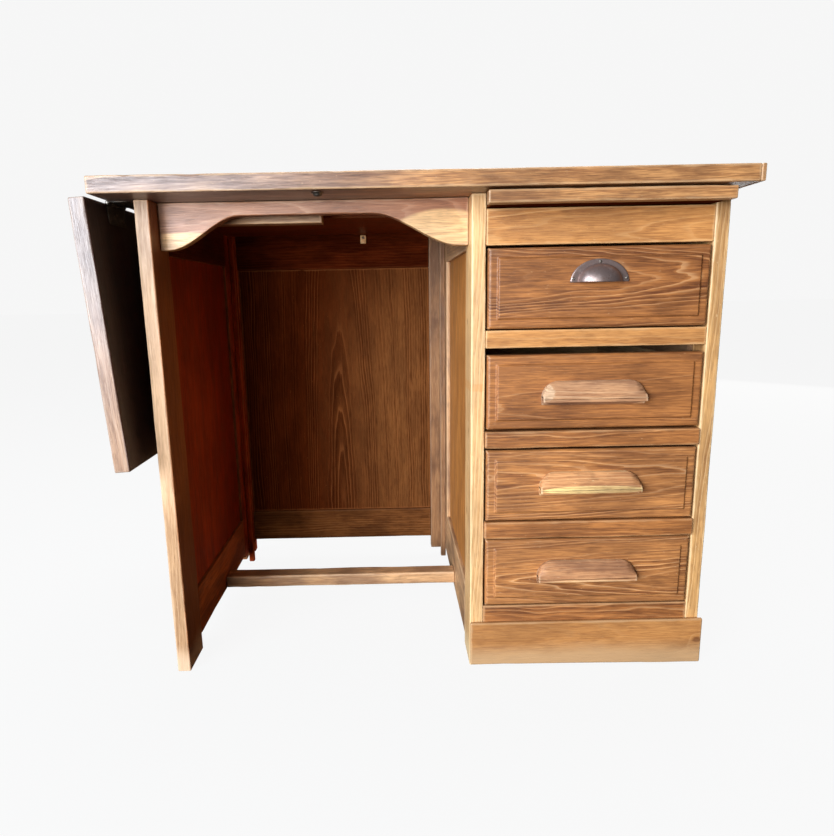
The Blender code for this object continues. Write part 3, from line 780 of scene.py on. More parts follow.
@dataclass
class Board:
    """One worn wooden board that stands for a block-shaped CAD node.

    Attributes:
        node: CAD node that it replaces.
        grain: direction of its fibres.
        finish: its oak finish.
        cut: how it was sawn.
        radius: mean rounding of its long edges.
        nick: depth of the nicks in its edges.
        knots: knots in it.
        patches: areas of another colour.
        raw_height: height up to which it is scuffed to raw wood.
        painted_inner_shade: painted shade, what its colour is multiplied by on its far face in shade.
        low, high: corners, where the board is only part of its node.
        name: name of the piece, where it isn't the node's.
        lower_edge: height of the lower long edge at places along the board, where it isn't
            straight.
        seed: number that makes the board's wear and figure its own.
    """

    node: str
    grain: Grain
    finish: Oak
    cut: Cut = Cut.RIFT
    radius: float = 0.0016
    nick: float = 0.0010
    knots: tuple[Knot, ...] = ()
    patches: tuple[Patch, ...] = ()
    raw_height: float = 0.0
    painted_inner_shade: Optional[Rgb] = None
    low: Optional[Vector] = None
    high: Optional[Vector] = None
    name: str = ""
    lower_edge: Optional[Callable[[np.ndarray], np.ndarray]] = None
    seed: int = field(init=False)

    def __post_init__(self) -> None:
        """Fill in the corners, the name and the seed from the node."""
        low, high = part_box(self.node)
        self.low = self.low or low
        self.high = self.high or high
        self.name = self.name or f"{self.node}_board"
        self.seed = sum(ord(letter) * (place + 1) for place, letter in enumerate(self.name)) % 97

    def stations(self, start: float, end: float) -> tuple[np.ndarray, np.ndarray]:
        """Places along the board and how far the section shrinks at each.

        The ends turn in on a quarter circle: at angle t the section is smaller by
        r (1 - cos t) while the place moves by r sin t.

        Args:
            start, end: the board's ends.

        Returns:
            The places, and how far every side moves in at each.
        """
        turn = np.linspace(0, QUARTER_TURN, 5)
        curl = self.radius * 0.8
        body = np.linspace(start + curl + 0.001, end - curl - 0.001,
                           max(3, int((end - start) / 0.010)))
        head = start + curl * (1 - np.sin(turn[::-1]))
        shrink = curl * (1 - np.cos(turn[::-1]))
        places = np.concatenate([[start, start], head, body, end - (head[::-1] - start),
                                 [end, end]])
        inset = np.concatenate([[1.0, curl + 0.001], shrink, np.zeros(len(body)), shrink[::-1],
                                [curl + 0.001, 1.0]])
        return places, inset

    def grid(self) -> np.ndarray:
        """Points of the board: a rounded rectangle carried along the grain.

        The corner radius at each place is the mean radius times a slow wave, plus nicks;
        each side also moves in by up to 0.2 mm on a slow wave. The end rows close on the
        rectangle's middle line.

        Returns:
            Points, stations by columns by 3.
        """
        random = np.random.default_rng(self.seed)
        axes = OakDressing(self.finish, self.grain, self.low, self.high).axes()
        low = [self.low[axis] for axis in axes]
        high = [self.high[axis] for axis in axes]
        places, inset = self.stations(low[0], high[0])
        sides = []
        for edge, sign in ((low[1], 1), (high[1], -1), (low[2], 1), (high[2], -1)):
            wave = 0.0002 * ripple(places, random, 0.4)
            sides.append(edge + sign * (wave + inset))
        if self.lower_edge is not None:
            sides[0] = sides[0] - low[1] + self.lower_edge(places)
        half_t = 0.5 * (high[2] - low[2])
        for pair in ((0, 1), (2, 3)):
            middle = 0.5 * (sides[pair[0]] + sides[pair[1]])
            sides[pair[0]] = np.minimum(sides[pair[0]], middle)
            sides[pair[1]] = np.maximum(sides[pair[1]], middle)
        closed = inset > half_t
        if high[1] - low[1] > high[2] - low[2]:
            sides[0] = np.where(closed, low[1] + half_t, sides[0])
            sides[1] = np.where(closed, high[1] - half_t, sides[1])
            if self.lower_edge is not None:
                sides[0] = np.where(closed, self.lower_edge(places) + half_t, sides[0])
        radius = np.stack([
            self.radius * (0.55 + 0.9 * ripple(places, random, 0.25))
            + dents(places, random, 0.07, self.nick) for _ in range(4)], axis=-1)
        radius = np.clip(radius - inset[:, None] * 0.8, 0.0001, None)
        radius[closed] = 0.0
        section = loft_section(*sides, radius)
        grid = np.empty((*section.shape[:2], 3))
        grid[..., axes[0]] = places[:, None]
        grid[..., axes[1]] = section[..., 0]
        grid[..., axes[2]] = section[..., 1]
        return grid

    def build(self) -> bpy.types.Object:
        """Make the board, dress it and let it stand for its node.

        Returns:
            The board.
        """
        made = grid_object(self.name, self.grid(), BODY_OF[self.node])
        dress_oak(made, OakDressing(self.finish, self.grain, self.low, self.high, self.cut,
                                    self.seed, self.knots, self.patches, self.raw_height,
                                    painted_inner_shade=self.painted_inner_shade))
        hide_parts(self.node)
        LOG.info("board %s", self.name)
        return made


def dress_oak(piece: bpy.types.Object, dressing: OakDressing) -> None:
    """Give a piece an oak material of its own.

    Args:
        piece: the piece.
        dressing: its finish, drawn for its own board.
    """
    piece.data.materials.clear()
    piece.data.materials.append(dressing.material(f"{piece.name}_{dressing.finish.name}"))


def dress_node(node: str, finish: Oak, grain: Grain, cut: Cut = Cut.RIFT,
               patches: tuple[Patch, ...] = (), painted_inner_shade: Optional[Rgb] = None) -> None:
    """Give a CAD node that keeps its shape an oak material of its own.

    Args:
        node: the node.
        finish: its oak finish.
        grain: direction of its fibres.
        cut: how it was sawn.
        patches: areas of another colour.
        painted_inner_shade: painted shade, what its colour is multiplied by on its far face in shade.
    """
    low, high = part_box(node)
    seed = sum(map(ord, node)) % 89
    thing = frame["nodes"][node]
    dressing = OakDressing(finish, grain, low, high, cut, seed, (), patches,
                           painted_inner_shade=painted_inner_shade)
    thing.data.materials.clear()
    thing.data.materials.append(dressing.material(f"{node}_{finish.name}"))
    LOG.info("dressed %s", node)


def rounded_outline(corners: Sequence[tuple[float, float]], radii: Sequence[float],
                    steps: int = 5) -> np.ndarray:
    """Closed outline with its corners rounded.

    Each corner becomes a quadratic curve between the points that lie one radius from it
    on its two sides, with the corner as the curve's middle handle.

    Args:
        corners: the outline's corners in order.
        radii: how far each corner's rounding reaches along its sides.
        steps: points on each rounding.

    Returns:
        Points, count by 2.
    """
    corner = np.array(corners)
    before, after = np.roll(corner, 1, axis=0), np.roll(corner, -1, axis=0)
    reach = np.array(radii)[:, None]
    towards = (before - corner) / np.linalg.norm(before - corner, axis=1, keepdims=True)
    onwards = (after - corner) / np.linalg.norm(after - corner, axis=1, keepdims=True)
    start, end = corner + towards * reach, corner + onwards * reach
    share = np.linspace(0, 1, steps)[None, :, None]
    curve = ((1 - share) ** 2 * start[:, None] + 2 * share * (1 - share) * corner[:, None]
             + share**2 * end[:, None])
    return curve.reshape(-1, 2)


def screw_head(name: str, centre: Vector, facing: Vector, radius: float, body: str,
               slot_turn: float, finish: Metal) -> bpy.types.Object:
    """Slotted screw head: a low dome of revolution with a groove across it.

    The height over the seat is h (1 - (r / R)^2), less the slot's depth where the
    distance from the slot's line is under half its width.

    Args:
        name: name of the piece.
        centre: middle of its seat.
        facing: direction that it faces.
        radius: radius of the head.
        body: CAD body that it rides on.
        slot_turn: angle of the slot.
        finish: its metal.

    Returns:
        The screw head.
    """
    ring = np.array([0.0, 0.1, 0.16, 0.3, 0.5, 0.7, 0.85, 0.95, 1.0, 1.0]) * radius
    turn = np.linspace(0, 2 * math.pi, 32, endpoint=False) + slot_turn
    x, y = ring[:, None] * np.cos(turn), ring[:, None] * np.sin(turn)
    across = np.abs(ring[:, None] * np.sin(turn - slot_turn))
    height = 0.45 * radius * (1 - (ring[:, None] / radius) ** 2) + 0.12 * radius
    height = height - 0.35 * radius * (across < 0.16 * radius) * (ring[:, None] < 0.99 * radius)
    height[-1] = -0.15 * radius
    grid = np.stack([x, y, height * np.ones_like(x)], axis=-1)
    spin = np.array(Vector((0, 0, 1)).rotation_difference(facing).to_matrix())
    grid = grid @ spin.T + np.array(centre)
    made = grid_object(name, grid, body)
    made.data.materials.append(metal_material(f"{name}_{finish.name}", finish))
    return made


# ------------------------------------------------------------------- sub-assemblies
@dataclass
class TopAndLeaf:
    """Desktop with its end lipping, drop leaf and hinges.

    Attributes:
        lipping: width of the strip on the desktop's right end.
        joint: gap between the desktop and its lipping.
        left_end_sheen: painted reflection, the window's cool grey sheen on the desktop's left end.
        leaf_sheen_patches: painted reflection, a cool sheen on the leaf's upper part, warm below.
        painted_inner_shade: painted shade, the leaf's colour multiplier on its unlit inner face.
    """

    lipping: float = 0.0066
    joint: float = 0.0003
    # Painted reflection: a cool grey cast stands in for the window's sheen on the left end.
    left_end_sheen: Patch = Patch(-0.46, 0.0, 0.34, 1.20, (0.29, 0.225, 0.22), 0.80, 0.3, 0.6)
    # Painted reflection: the upper patch is the window's cool sheen; the lower one is warmer, where the sheen
    # fades.
    leaf_sheen_patches: tuple[Patch, ...] = (
        Patch(0.19, 0.0, 0.17, 1.2, (0.31, 0.26, 0.255), 0.85, 0.3, 0.5),
        Patch(-0.17, 0.0, 0.13, 1.2, (0.40, 0.235, 0.145), 0.85, 0.3, 0.5))
    # Painted shade: the leaf's inner face turns away from the light.
    painted_inner_shade: Rgb = (0.115, 0.028, 0.014)

    def build(self) -> None:
        """Make the boards, then the hinges."""
        low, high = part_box("desktop")
        seam = high.x - self.lipping
        Board("desktop", Grain.X, TOP_OAK, Cut.ARCHED, radius=0.0018, nick=0.0022,
              patches=(self.left_end_sheen,),
              high=Vector((seam - self.joint, high.y, high.z))).build()
        Board("desktop", Grain.Y, TOP_OAK, Cut.STRAIGHT, radius=0.0016, nick=0.0014,
              low=Vector((seam, low.y, low.z)), name="desktop_lipping").build()
        self.build_leaf()
        for number in (1, 2):
            Hinge(number).build()
        self.build_stud()

    def build_leaf(self) -> None:
        """Leaf board: lofted upright like the others, then leaned to its hanging angle."""
        low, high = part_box("leaf")
        points = np.array([vertex.co for vertex in frame["nodes"]["leaf"].data.vertices])
        lean = hanging_lean()
        pivot = np.array(joint_place("leaf_hinge"))
        upright = turned_about_y(points, pivot, lean)
        board = Board("leaf", Grain.Z, LEAF_OAK, Cut.ARCHED, radius=0.0022, nick=0.0018,
                      low=Vector(upright.min(axis=0)), high=Vector(upright.max(axis=0)))
        grid = turned_about_y(board.grid(), pivot, -lean)
        made = grid_object(board.name, grid, BODY_OF["leaf"])
        middle, half = (low + high) / 2, (board.high - board.low) / 2
        dress_oak(made, OakDressing(LEAF_OAK, Grain.Z, middle - half, middle + half, Cut.ARCHED,
                                    board.seed, patches=self.leaf_sheen_patches, lean=lean,
                                    painted_inner_shade=self.painted_inner_shade))
        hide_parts("leaf")

    def build_stud(self) -> None:
        """Small turned stud under the desktop's front edge: a dome on a collar."""
        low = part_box("desktop")[0]
        x, y = low.x + 0.308, low.y + 0.0245
        radius = 0.0090 * np.array([0.0, 1.0, 1.0, 0.93, 0.70, 0.66, 0.60, 0.42, 0.20, 0.0])
        drop = 0.0060 * np.array([0.0, 0.0, 0.15, 0.25, 0.30, 0.62, 0.80, 0.94, 0.99, 1.0])
        turn = np.linspace(0, 2 * math.pi, 32, endpoint=False)
        grid = np.stack([x + radius[:, None] * np.cos(turn), y + radius[:, None] * np.sin(turn),
                         (low.z + 0.0002 - drop)[:, None] * np.ones_like(turn)], axis=-1)
        made = grid_object("underside_stud_turned", grid, BODY_OF["desktop"])
        made.data.materials.append(metal_material("stud_steel", OLD_STEEL))


def joint_named(name: str) -> dict:
    """The frame's entry for a joint."""
    return next(joint for joint in frame["joints"] if joint["name"] == name)


def joint_place(name: str) -> tuple[float, float, float]:
    """A point on the axis of a joint in the frame."""
    return tuple(joint_named(name)["pos_m"])


def hanging_lean() -> float:
    """Angle by which the hanging leaf leans in below, from the leaf hinge's range."""
    return math.radians(joint_named("leaf_hinge")["range_deg"][1] - 90.0)


def turned_about_y(points: np.ndarray, pivot: np.ndarray, angle: float) -> np.ndarray:
    """Points turned about the Y axis through a pivot.

    Args:
        points: the points.
        pivot: a point on the axis.
        angle: the angle.

    Returns:
        The turned points.
    """
    turn = np.array([[math.cos(angle), 0, math.sin(angle)], [0, 1, 0],
                     [-math.sin(angle), 0, math.cos(angle)]])
    return (points - pivot) @ turn.T + pivot


@dataclass
class Hinge:
    """Butt hinge of the leaf: two plates with interleaved knuckles and countersunk screws.

    Attributes:
        number: which of the two hinges.
        radius: radius of the knuckles.
        reach: width of a plate from the pin.
        thickness: thickness of a plate.
        knuckles: how many knuckles share the pin; the fixed plate has the outer ones.
        gap: gap between knuckles.
        corner: rounding of a plate's outer corners.
        start, end: ends of the hinge along the pin.
    """

    number: int
    radius: float = 0.0030
    reach: float = 0.0295
    thickness: float = 0.0012
    knuckles: int = 5
    gap: float = 0.0003
    corner: float = 0.0035
    start: float = field(init=False)
    end: float = field(init=False)

    def __post_init__(self) -> None:
        """Find the hinge's ends."""
        low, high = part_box(f"hinge_{self.number}_fixed_flap")
        self.start, self.end = low.y + self.gap, high.y - self.gap

    def build(self) -> None:
        """Make both halves, with the leaf's half turned to its hanging angle."""
        pivot = np.array(joint_place("leaf_hinge"))
        pivot[1] = 0.0
        under = np.array(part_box("desktop")[0])[2] - 0.0003 - pivot[2]
        along_top = np.array([[1, 0, 0], [0, 1, 0], [0, 0, 1]])
        down_leaf = np.array([[0, 0, 1], [0, 1, 0], [-1, 0, 0]])
        self.half("fixed_flap", 0, under - self.thickness, along_top, pivot, 0.0)
        self.half("leaf_flap", 1, -0.0017, down_leaf, pivot, hanging_lean())

    def half(self, name: str, first: int, base: float, turn: np.ndarray, pivot: np.ndarray,
             lean: float) -> None:
        """One plate with its knuckles and screws.

        Args:
            name: which half of the hinge.
            first: number of its first knuckle.
            base: lower side of the plate through its thickness, from the pin.
            turn: rows that take (out, along, through) to world directions.
            pivot: point on the pin.
            lean: angle that the finished half is turned about the pin.
        """
        node = f"hinge_{self.number}_{name}"
        body = BODY_OF[node]
        finish = metal_material(f"{node}_steel", OLD_STEEL)
        gap, corner = self.gap, self.corner
        ends = np.linspace(self.start, self.end, self.knuckles + 1)
        places, near = [], []
        for index in range(self.knuckles):
            own = index % 2 == first
            shift = -gap if own else gap
            span = [ends[index] - shift, ends[index + 1] + shift]
            span = [max(span[0], self.start), min(span[1], self.end)]
            places += list(np.linspace(*span, 5))
            near += [0.0010 if own else self.radius + gap] * 5
        places, near = np.array(places), np.array(near)
        edge = np.clip(corner - np.minimum(places - self.start, self.end - places), 0, corner)
        far = self.reach - (corner - np.sqrt(corner**2 - edge**2))
        low_t = np.full(len(places), base)
        plate = loft_section(near, far, low_t, low_t + self.thickness,
                             np.full((len(places), 4), 0.0003))
        grid = np.empty((*plate.shape[:2], 3))
        grid[..., 0], grid[..., 1], grid[..., 2] = plate[..., 0], places[:, None], plate[..., 1]
        caps = [grid[[row]] * 0 + grid[row].mean(axis=0) for row in (0, -1)]
        pieces = [("plate", np.concatenate([caps[0], grid, caps[1]]))]
        for index in range(first, self.knuckles, 2):
            along = np.array([0, 0, 0.0005, 0.003, 0.006])
            length = ends[index + 1] - ends[index] - gap
            along = np.concatenate([along, (length - along)[::-1]])
            size = self.radius * np.array([0, 0.88, 1, 1, 1, 1, 1, 1, 0.88, 0])
            angle = np.linspace(0, 2 * math.pi, 28, endpoint=False)
            pieces.append((f"knuckle_{index}", np.stack([
                size[:, None] * np.cos(angle),
                (ends[index] + gap / 2 + along)[:, None] * np.ones_like(angle),
                size[:, None] * np.sin(angle)], axis=-1)))
        for label, points in pieces:
            world = turned_about_y(points @ turn.T + pivot, pivot, -lean)
            made = grid_object(f"{node}_{label}", world, body)
            made.data.materials.append(finish)
            if label == "plate":
                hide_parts(node)
        facing_side = base if name == "fixed_flap" else base + self.thickness
        sign = -1.0 if name == "fixed_flap" else 1.0
        for spot, (share, out) in enumerate(((0.16, 0.021), (0.5, 0.013), (0.84, 0.021))):
            seat = np.array([out, self.start + share * (self.end - self.start),
                             facing_side - sign * 0.0006])
            seat = turned_about_y(seat @ turn.T + pivot, pivot, -lean)
            facing = turned_about_y(np.array([0, 0, sign]) @ turn.T, np.zeros(3), -lean)
            screw_head(f"{node}_screw_{spot + 1}", Vector(seat), Vector(facing), 0.0030, body,
                       0.4 + spot, OLD_STEEL)


@dataclass
class Sides:
    """The three frame-and-panel sides.

    Attributes:
        stile_knots: knots in the middle side's front stile.
        stile_patches: areas of another colour on the front stiles; on the left one, painted light.
        panel_patches: painted light, lighter and warmer towards the left panel's lower front.
        left_shades: painted shade, each left part's colour multiplier on its kneehole side.
    """

    stile_knots: tuple[Knot, ...] = (
        Knot(-0.118, 0.010, 0.0050), Knot(0.020, -0.006, 0.0035), Knot(0.190, 0.012, 0.0040))
    stile_patches: dict[str, tuple[Patch, ...]] = field(default_factory=lambda: {
        # Painted light on the left stile: lighter in the middle, where the leaf's shadow falls, and darker above
        # and below.
        "left": (Patch(0.36, 0.0, 0.12, 0.2, (0.48, 0.315, 0.21), 0.9, 0.3, 0.4),
                 Patch(0.06, 0.0, 0.17, 0.3, (0.74, 0.48, 0.29), 0.9, 0.3, 0.4),
                 Patch(-0.27, 0.0, 0.19, 0.3, (0.50, 0.295, 0.155), 0.9, 0.3, 0.3)),
        "middle": (Patch(0.092, 0.0, 0.007, 0.060, (0.80, 0.40, 0.14), 0.6, 0.3),)})
    # Painted light: the left panel is lighter towards its lower front, where light comes into the kneehole.
    panel_patches: tuple[Patch, ...] = (
        Patch(-0.12, -0.17, 0.34, 0.20, (0.50, 0.255, 0.090), 0.85, 0.4, 0.6),)
    # Painted shade on the left side's faces towards the kneehole, which lie in shade.
    left_shades: dict[str, Rgb] = field(default_factory=lambda: {
        "front_stile": (0.75, 0.45, 0.28), "rear_stile": (1.14, 0.38, 0.23),
        "top_rail": (0.29, 0.12, 0.08), "bottom_rail": (1.30, 0.78, 0.48),
        "panel": (1.30, 0.42, 0.32)})

    def build(self) -> None:
        """Make each side's stiles and rails; its panel keeps its CAD shape."""
        for side, front, frame_oak, rail_oak, panel_oak in (
                ("left", STILE_OAK, SIDE_OAK, LOW_SIDE_OAK, SIDE_PANEL_OAK),
                ("middle", PALE_OAK, FRAME_OAK, FRAME_OAK, LIT_PANEL_OAK),
                ("right", RIGHT_OAK, FRAME_OAK, FRAME_OAK, LIT_PANEL_OAK)):
            left = side == "left"
            painted_shades = self.left_shades if left else {}
            knots = self.stile_knots if side == "middle" else ()
            Board(f"{side}_front_stile", Grain.Z, front, Cut.ARCHED, radius=0.0020, knots=knots,
                  patches=self.stile_patches.get(side, ()), raw_height=0.05,
                  painted_inner_shade=painted_shades.get("front_stile")).build()
            Board(f"{side}_bottom_rail", Grain.Y, rail_oak,
                  painted_inner_shade=painted_shades.get("bottom_rail")).build()
            if left:
                for part, grain in (("rear_stile", Grain.Z), ("top_rail", Grain.Y)):
                    dress_node(f"left_{part}", frame_oak, grain, painted_inner_shade=painted_shades[part])
            else:
                Board(f"{side}_rear_stile", Grain.Z, frame_oak, raw_height=0.05).build()
                Board(f"{side}_top_rail", Grain.Y, frame_oak).build()
            dress_node(f"{side}_panel", panel_oak, Grain.Z, Cut.CROWN,
                       self.panel_patches if left else (), painted_shades.get("panel"))


@dataclass
class Kneehole:
    """Apron, back frame, stretcher and the pieces under the top."""

    def build(self) -> None:
        """Make the boards, then the apron."""
        # The back frame's uprights and rails take painted kneehole shade.
        for side, finish in (("left", WARM_KNEE_SHADOW_OAK), ("right", SHADED_FRAME_OAK)):
            for upright in ("stile", "batten"):
                Board(f"back_{side}_{upright}", Grain.Z, finish).build()
        Board("back_top_rail", Grain.X, KNEE_SHADOW_OAK).build()
        Board("back_bottom_rail", Grain.X, BACK_RAIL_SHADOW_OAK).build()
        # Painted light on the back panel's right part, where the window's light falls.
        dress_node("back_panel", BACK_SHADOW_OAK, Grain.Z, Cut.CROWN,
                   (Patch(-0.06, 0.215, 0.42, 0.20, LIT_BACK_TONE, 0.85, 0.7, 0.6),))
        Board("stretcher", Grain.X, FRAME_OAK, radius=0.0030, nick=0.0016).build()
        self.build_screw()
        dress_node("under_board", SHADOW_PANEL_OAK, Grain.X)
        Board("loper", Grain.X, FRAME_OAK).build()
        Board("turn_button", Grain.Z, PALE_OAK, radius=0.0022, nick=0.0).build()
        self.build_apron()

    def build_apron(self) -> None:
        """Apron: the board's loft with its lower edge read from the CAD outline."""
        points = np.array([vertex.co for vertex in frame["nodes"]["apron"].data.vertices])
        below = points[points[:, 2] < points[:, 2].max() - 0.002]
        across, first = np.unique(np.round(below[:, 0], 5), return_index=True)
        edge = below[first, 2]

        def lower_edge(places: np.ndarray) -> np.ndarray:
            """Height of the apron's lower edge: the outline, joined by straight lines."""
            return np.interp(places, across, edge)

        sapwood: Rgb = (1.0, 0.66, 0.32)
        Board("apron", Grain.X, APRON_OAK, Cut.ARCHED, radius=0.0018, nick=0.0012,
              patches=(Patch(-0.200, -0.038, 0.110, 0.029, sapwood, 0.9, 0.10),
                       Patch(0.195, -0.028, 0.085, 0.046, sapwood, 0.9, 0.10)),
              lower_edge=lower_edge).build()

    def build_screw(self) -> None:
        """Screw that the turn button turns on."""
        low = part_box("turn_button")[0]
        pivot = joint_place("turn_button_pivot")
        screw_head("turn_button_screw", Vector((pivot[0], low.y + 0.0004, pivot[2])),
                   Vector((0, -1, 0)), 0.0030, BODY_OF["turn_button"], 0.7, OLD_STEEL)


@dataclass
class Case:
    """Fixed front of the drawer case, its plinth and the writing slide."""

    def build(self) -> None:
        """Make the rails, the plinth and the slide; hidden boards keep their shape."""
        Board("slide_rail", Grain.X, HONEY_OAK, Cut.ARCHED).build()
        Board("upper_rail", Grain.X, HONEY_OAK, Cut.RIFT, radius=0.0020).build()
        Board("dark_rail_1", Grain.X, RAIL_OAK, Cut.RIFT, radius=0.0034, nick=0.0020).build()
        Board("dark_rail_2", Grain.X, RAIL_OAK, Cut.RIFT, radius=0.0034, nick=0.0020).build()
        Board("base_rail", Grain.X, RAIL_OAK, knots=(Knot(-0.080, -0.008, 0.004),)).build()
        low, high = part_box("plinth")

        def worn_foot(places: np.ndarray) -> np.ndarray:
            """Height of the plinth's lower edge: it rises evenly to the worn left end."""
            return low.z + 0.0042 * (high.x - places) / (high.x - low.x)

        Board("plinth", Grain.X, PLINTH_OAK, Cut.ARCHED, radius=0.0026, nick=0.0025,
              knots=(Knot(0.182, 0.002, 0.0060),), raw_height=0.045,
              lower_edge=worn_foot).build()
        Board("slide_lip", Grain.X, TOP_OAK, radius=0.0022, nick=0.0022).build()
        # Painted shade on the slide board.
        Board("slide_board", Grain.X, BACK_SHADOW_OAK).build()
        # Painted light: the pedestal's back is mostly given the lit back tone.
        dress_node("pedestal_back", BACK_SHADOW_OAK, Grain.Z, Cut.CROWN,
                   (Patch(0.0, 0.0, 0.60, 0.60, LIT_BACK_TONE, 0.85, 0.7, 0.6),))
        for node in ("left_runners", "right_runners"):
            dress_node(node, DUSTY_OAK, Grain.Y)


@dataclass
class Drawers:
    """Four drawers: moulded fronts, boxes and handles.

    Attributes:
        rounding: radius of the front's outer edge.
        margin: width of the flat margin round the raised field.
        step: width of the cove between margin and field.
        wall: thickness of the box's walls.
    """

    rounding: float = 0.0048
    margin: float = 0.0130
    step: float = 0.0034
    wall: float = 0.0100

    def build(self) -> None:
        """Make every drawer's front, box and handle."""
        for number in (1, 2, 3, 4):
            self.build_front(number)
            self.build_box(number)
            if number > 1:
                BarPull(f"drawer_{number}_bar_pull").build()
        CupPull("drawer_1_cup_pull").build()

    def build_box(self, number: int) -> None:
        """Box of a drawer: two sides, a back between them and a floor.

        Args:
            number: which drawer.
        """
        node = f"drawer_{number}_walls"
        low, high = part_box(node)
        wall, gap = self.wall, 0.0002
        Board(node, Grain.Y, BARE_OAK, radius=0.0012, name=f"{node}_left",
              high=Vector((low.x + wall, high.y, high.z))).build()
        Board(node, Grain.Y, BARE_OAK, radius=0.0012, name=f"{node}_right",
              low=Vector((high.x - wall, low.y, low.z))).build()
        Board(node, Grain.X, BARE_OAK, radius=0.0012, name=f"{node}_back",
              low=Vector((low.x + wall + gap, high.y - wall, low.z)),
              high=Vector((high.x - wall - gap, high.y, high.z))).build()
        Board(f"drawer_{number}_floor", Grain.X, BARE_OAK, radius=0.0006, nick=0.0).build()

    def build_front(self, number: int) -> None:
        """Front board: a moulding profile carried round a rectangle.

        Each ring of the grid is the front's outline moved in by the profile's inset, at
        the profile's depth. The profile runs from the back's middle over the back edge,
        up the side, round the outer edge, across the margin, up the cove and on to the
        middle of the field. The rounding and the cove waver with wear.

        Args:
            number: which drawer.
        """
        node = f"drawer_{number}_front"
        low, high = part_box(node)
        random = np.random.default_rng(40 + number)
        half_x, half_z = (high.x - low.x) / 2, (high.z - low.z) / 2
        margin_y = low.y + 0.0030
        turn = np.linspace(0, QUARTER_TURN, 6)
        cove = np.linspace(0, 1, 6)
        inset = np.concatenate([
            [half_z, 0.003, 0.001, 0.0, 0.0], self.rounding * (1 - np.cos(turn)),
            [self.rounding + 0.001, self.margin - 0.001], self.margin + self.step * cove,
            [self.margin + self.step + 0.001, half_z]])
        depth = np.concatenate([
            [high.y, high.y, high.y, high.y - 0.001, margin_y + self.rounding + 0.001],
            margin_y + self.rounding * (1 - np.sin(turn)), [margin_y, margin_y],
            margin_y - 0.0030 * cove**2 * (3 - 2 * cove), [low.y, low.y]])
        outline = self.perimeter(half_x, half_z, inset)
        wear = 0.00035 * ripple(np.linspace(0, 1.7, outline.shape[1]), random, 0.2)
        grid = np.empty((*outline.shape[:2], 3))
        grid[..., 0] = (low.x + high.x) / 2 + outline[..., 0]
        grid[..., 2] = (low.z + high.z) / 2 + outline[..., 1]
        worn = (inset > 0) & (inset < self.margin + 0.5 * self.step)
        grid[..., 1] = depth[:, None] + wear * worn[:, None]
        made = grid_object(f"{node}_board", grid, BODY_OF[node])
        finish = UPPER_FRONT_OAK if number < 3 else FRONT_OAK
        dress_oak(made, OakDressing(finish, Grain.X, low, high, Cut.ARCHED, 11 * number))
        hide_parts(node)
        LOG.info("drawer front %s", number)

    @staticmethod
    def perimeter(half_x: float, half_z: float, inset: np.ndarray,
                  corner: float = 0.0016) -> np.ndarray:
        """Rings round a rectangle with small round corners, one for each inset.

        Args:
            half_x, half_z: half the rectangle's sides.
            inset: how far each ring is moved in.
            corner: radius of the corners.

        Returns:
            Points, rings by columns by 2 (along X, along Z).
        """
        arc = np.linspace(0, QUARTER_TURN, 4)
        sides = np.linspace(-1, 1, 26)[1:-1]
        columns = []
        reach_x = np.maximum(half_x - inset, half_x - half_z)[:, None]
        reach_z = np.maximum(half_z - inset, 0.0)[:, None]
        round_off = np.minimum(corner, reach_z)
        for quarter in range(4):
            spin = quarter * QUARTER_TURN
            sign_x = 1 if quarter in (0, 3) else -1
            sign_z = 1 if quarter in (0, 1) else -1
            columns.append(np.stack([
                sign_x * (reach_x - round_off) + round_off * np.cos(spin + arc),
                sign_z * (reach_z - round_off) + round_off * np.sin(spin + arc)], axis=-1))
            if quarter % 2 == 0:
                line = np.stack([-sign_z * sides * (reach_x - round_off),
                                 sign_z * reach_z * np.ones_like(sides)], axis=-1)
            else:
                line = np.stack([-sign_z * reach_x * np.ones_like(sides),
                                 -sign_z * sides * (reach_z - round_off)], axis=-1)
            columns.append(line)
        return np.concatenate(columns, axis=1)


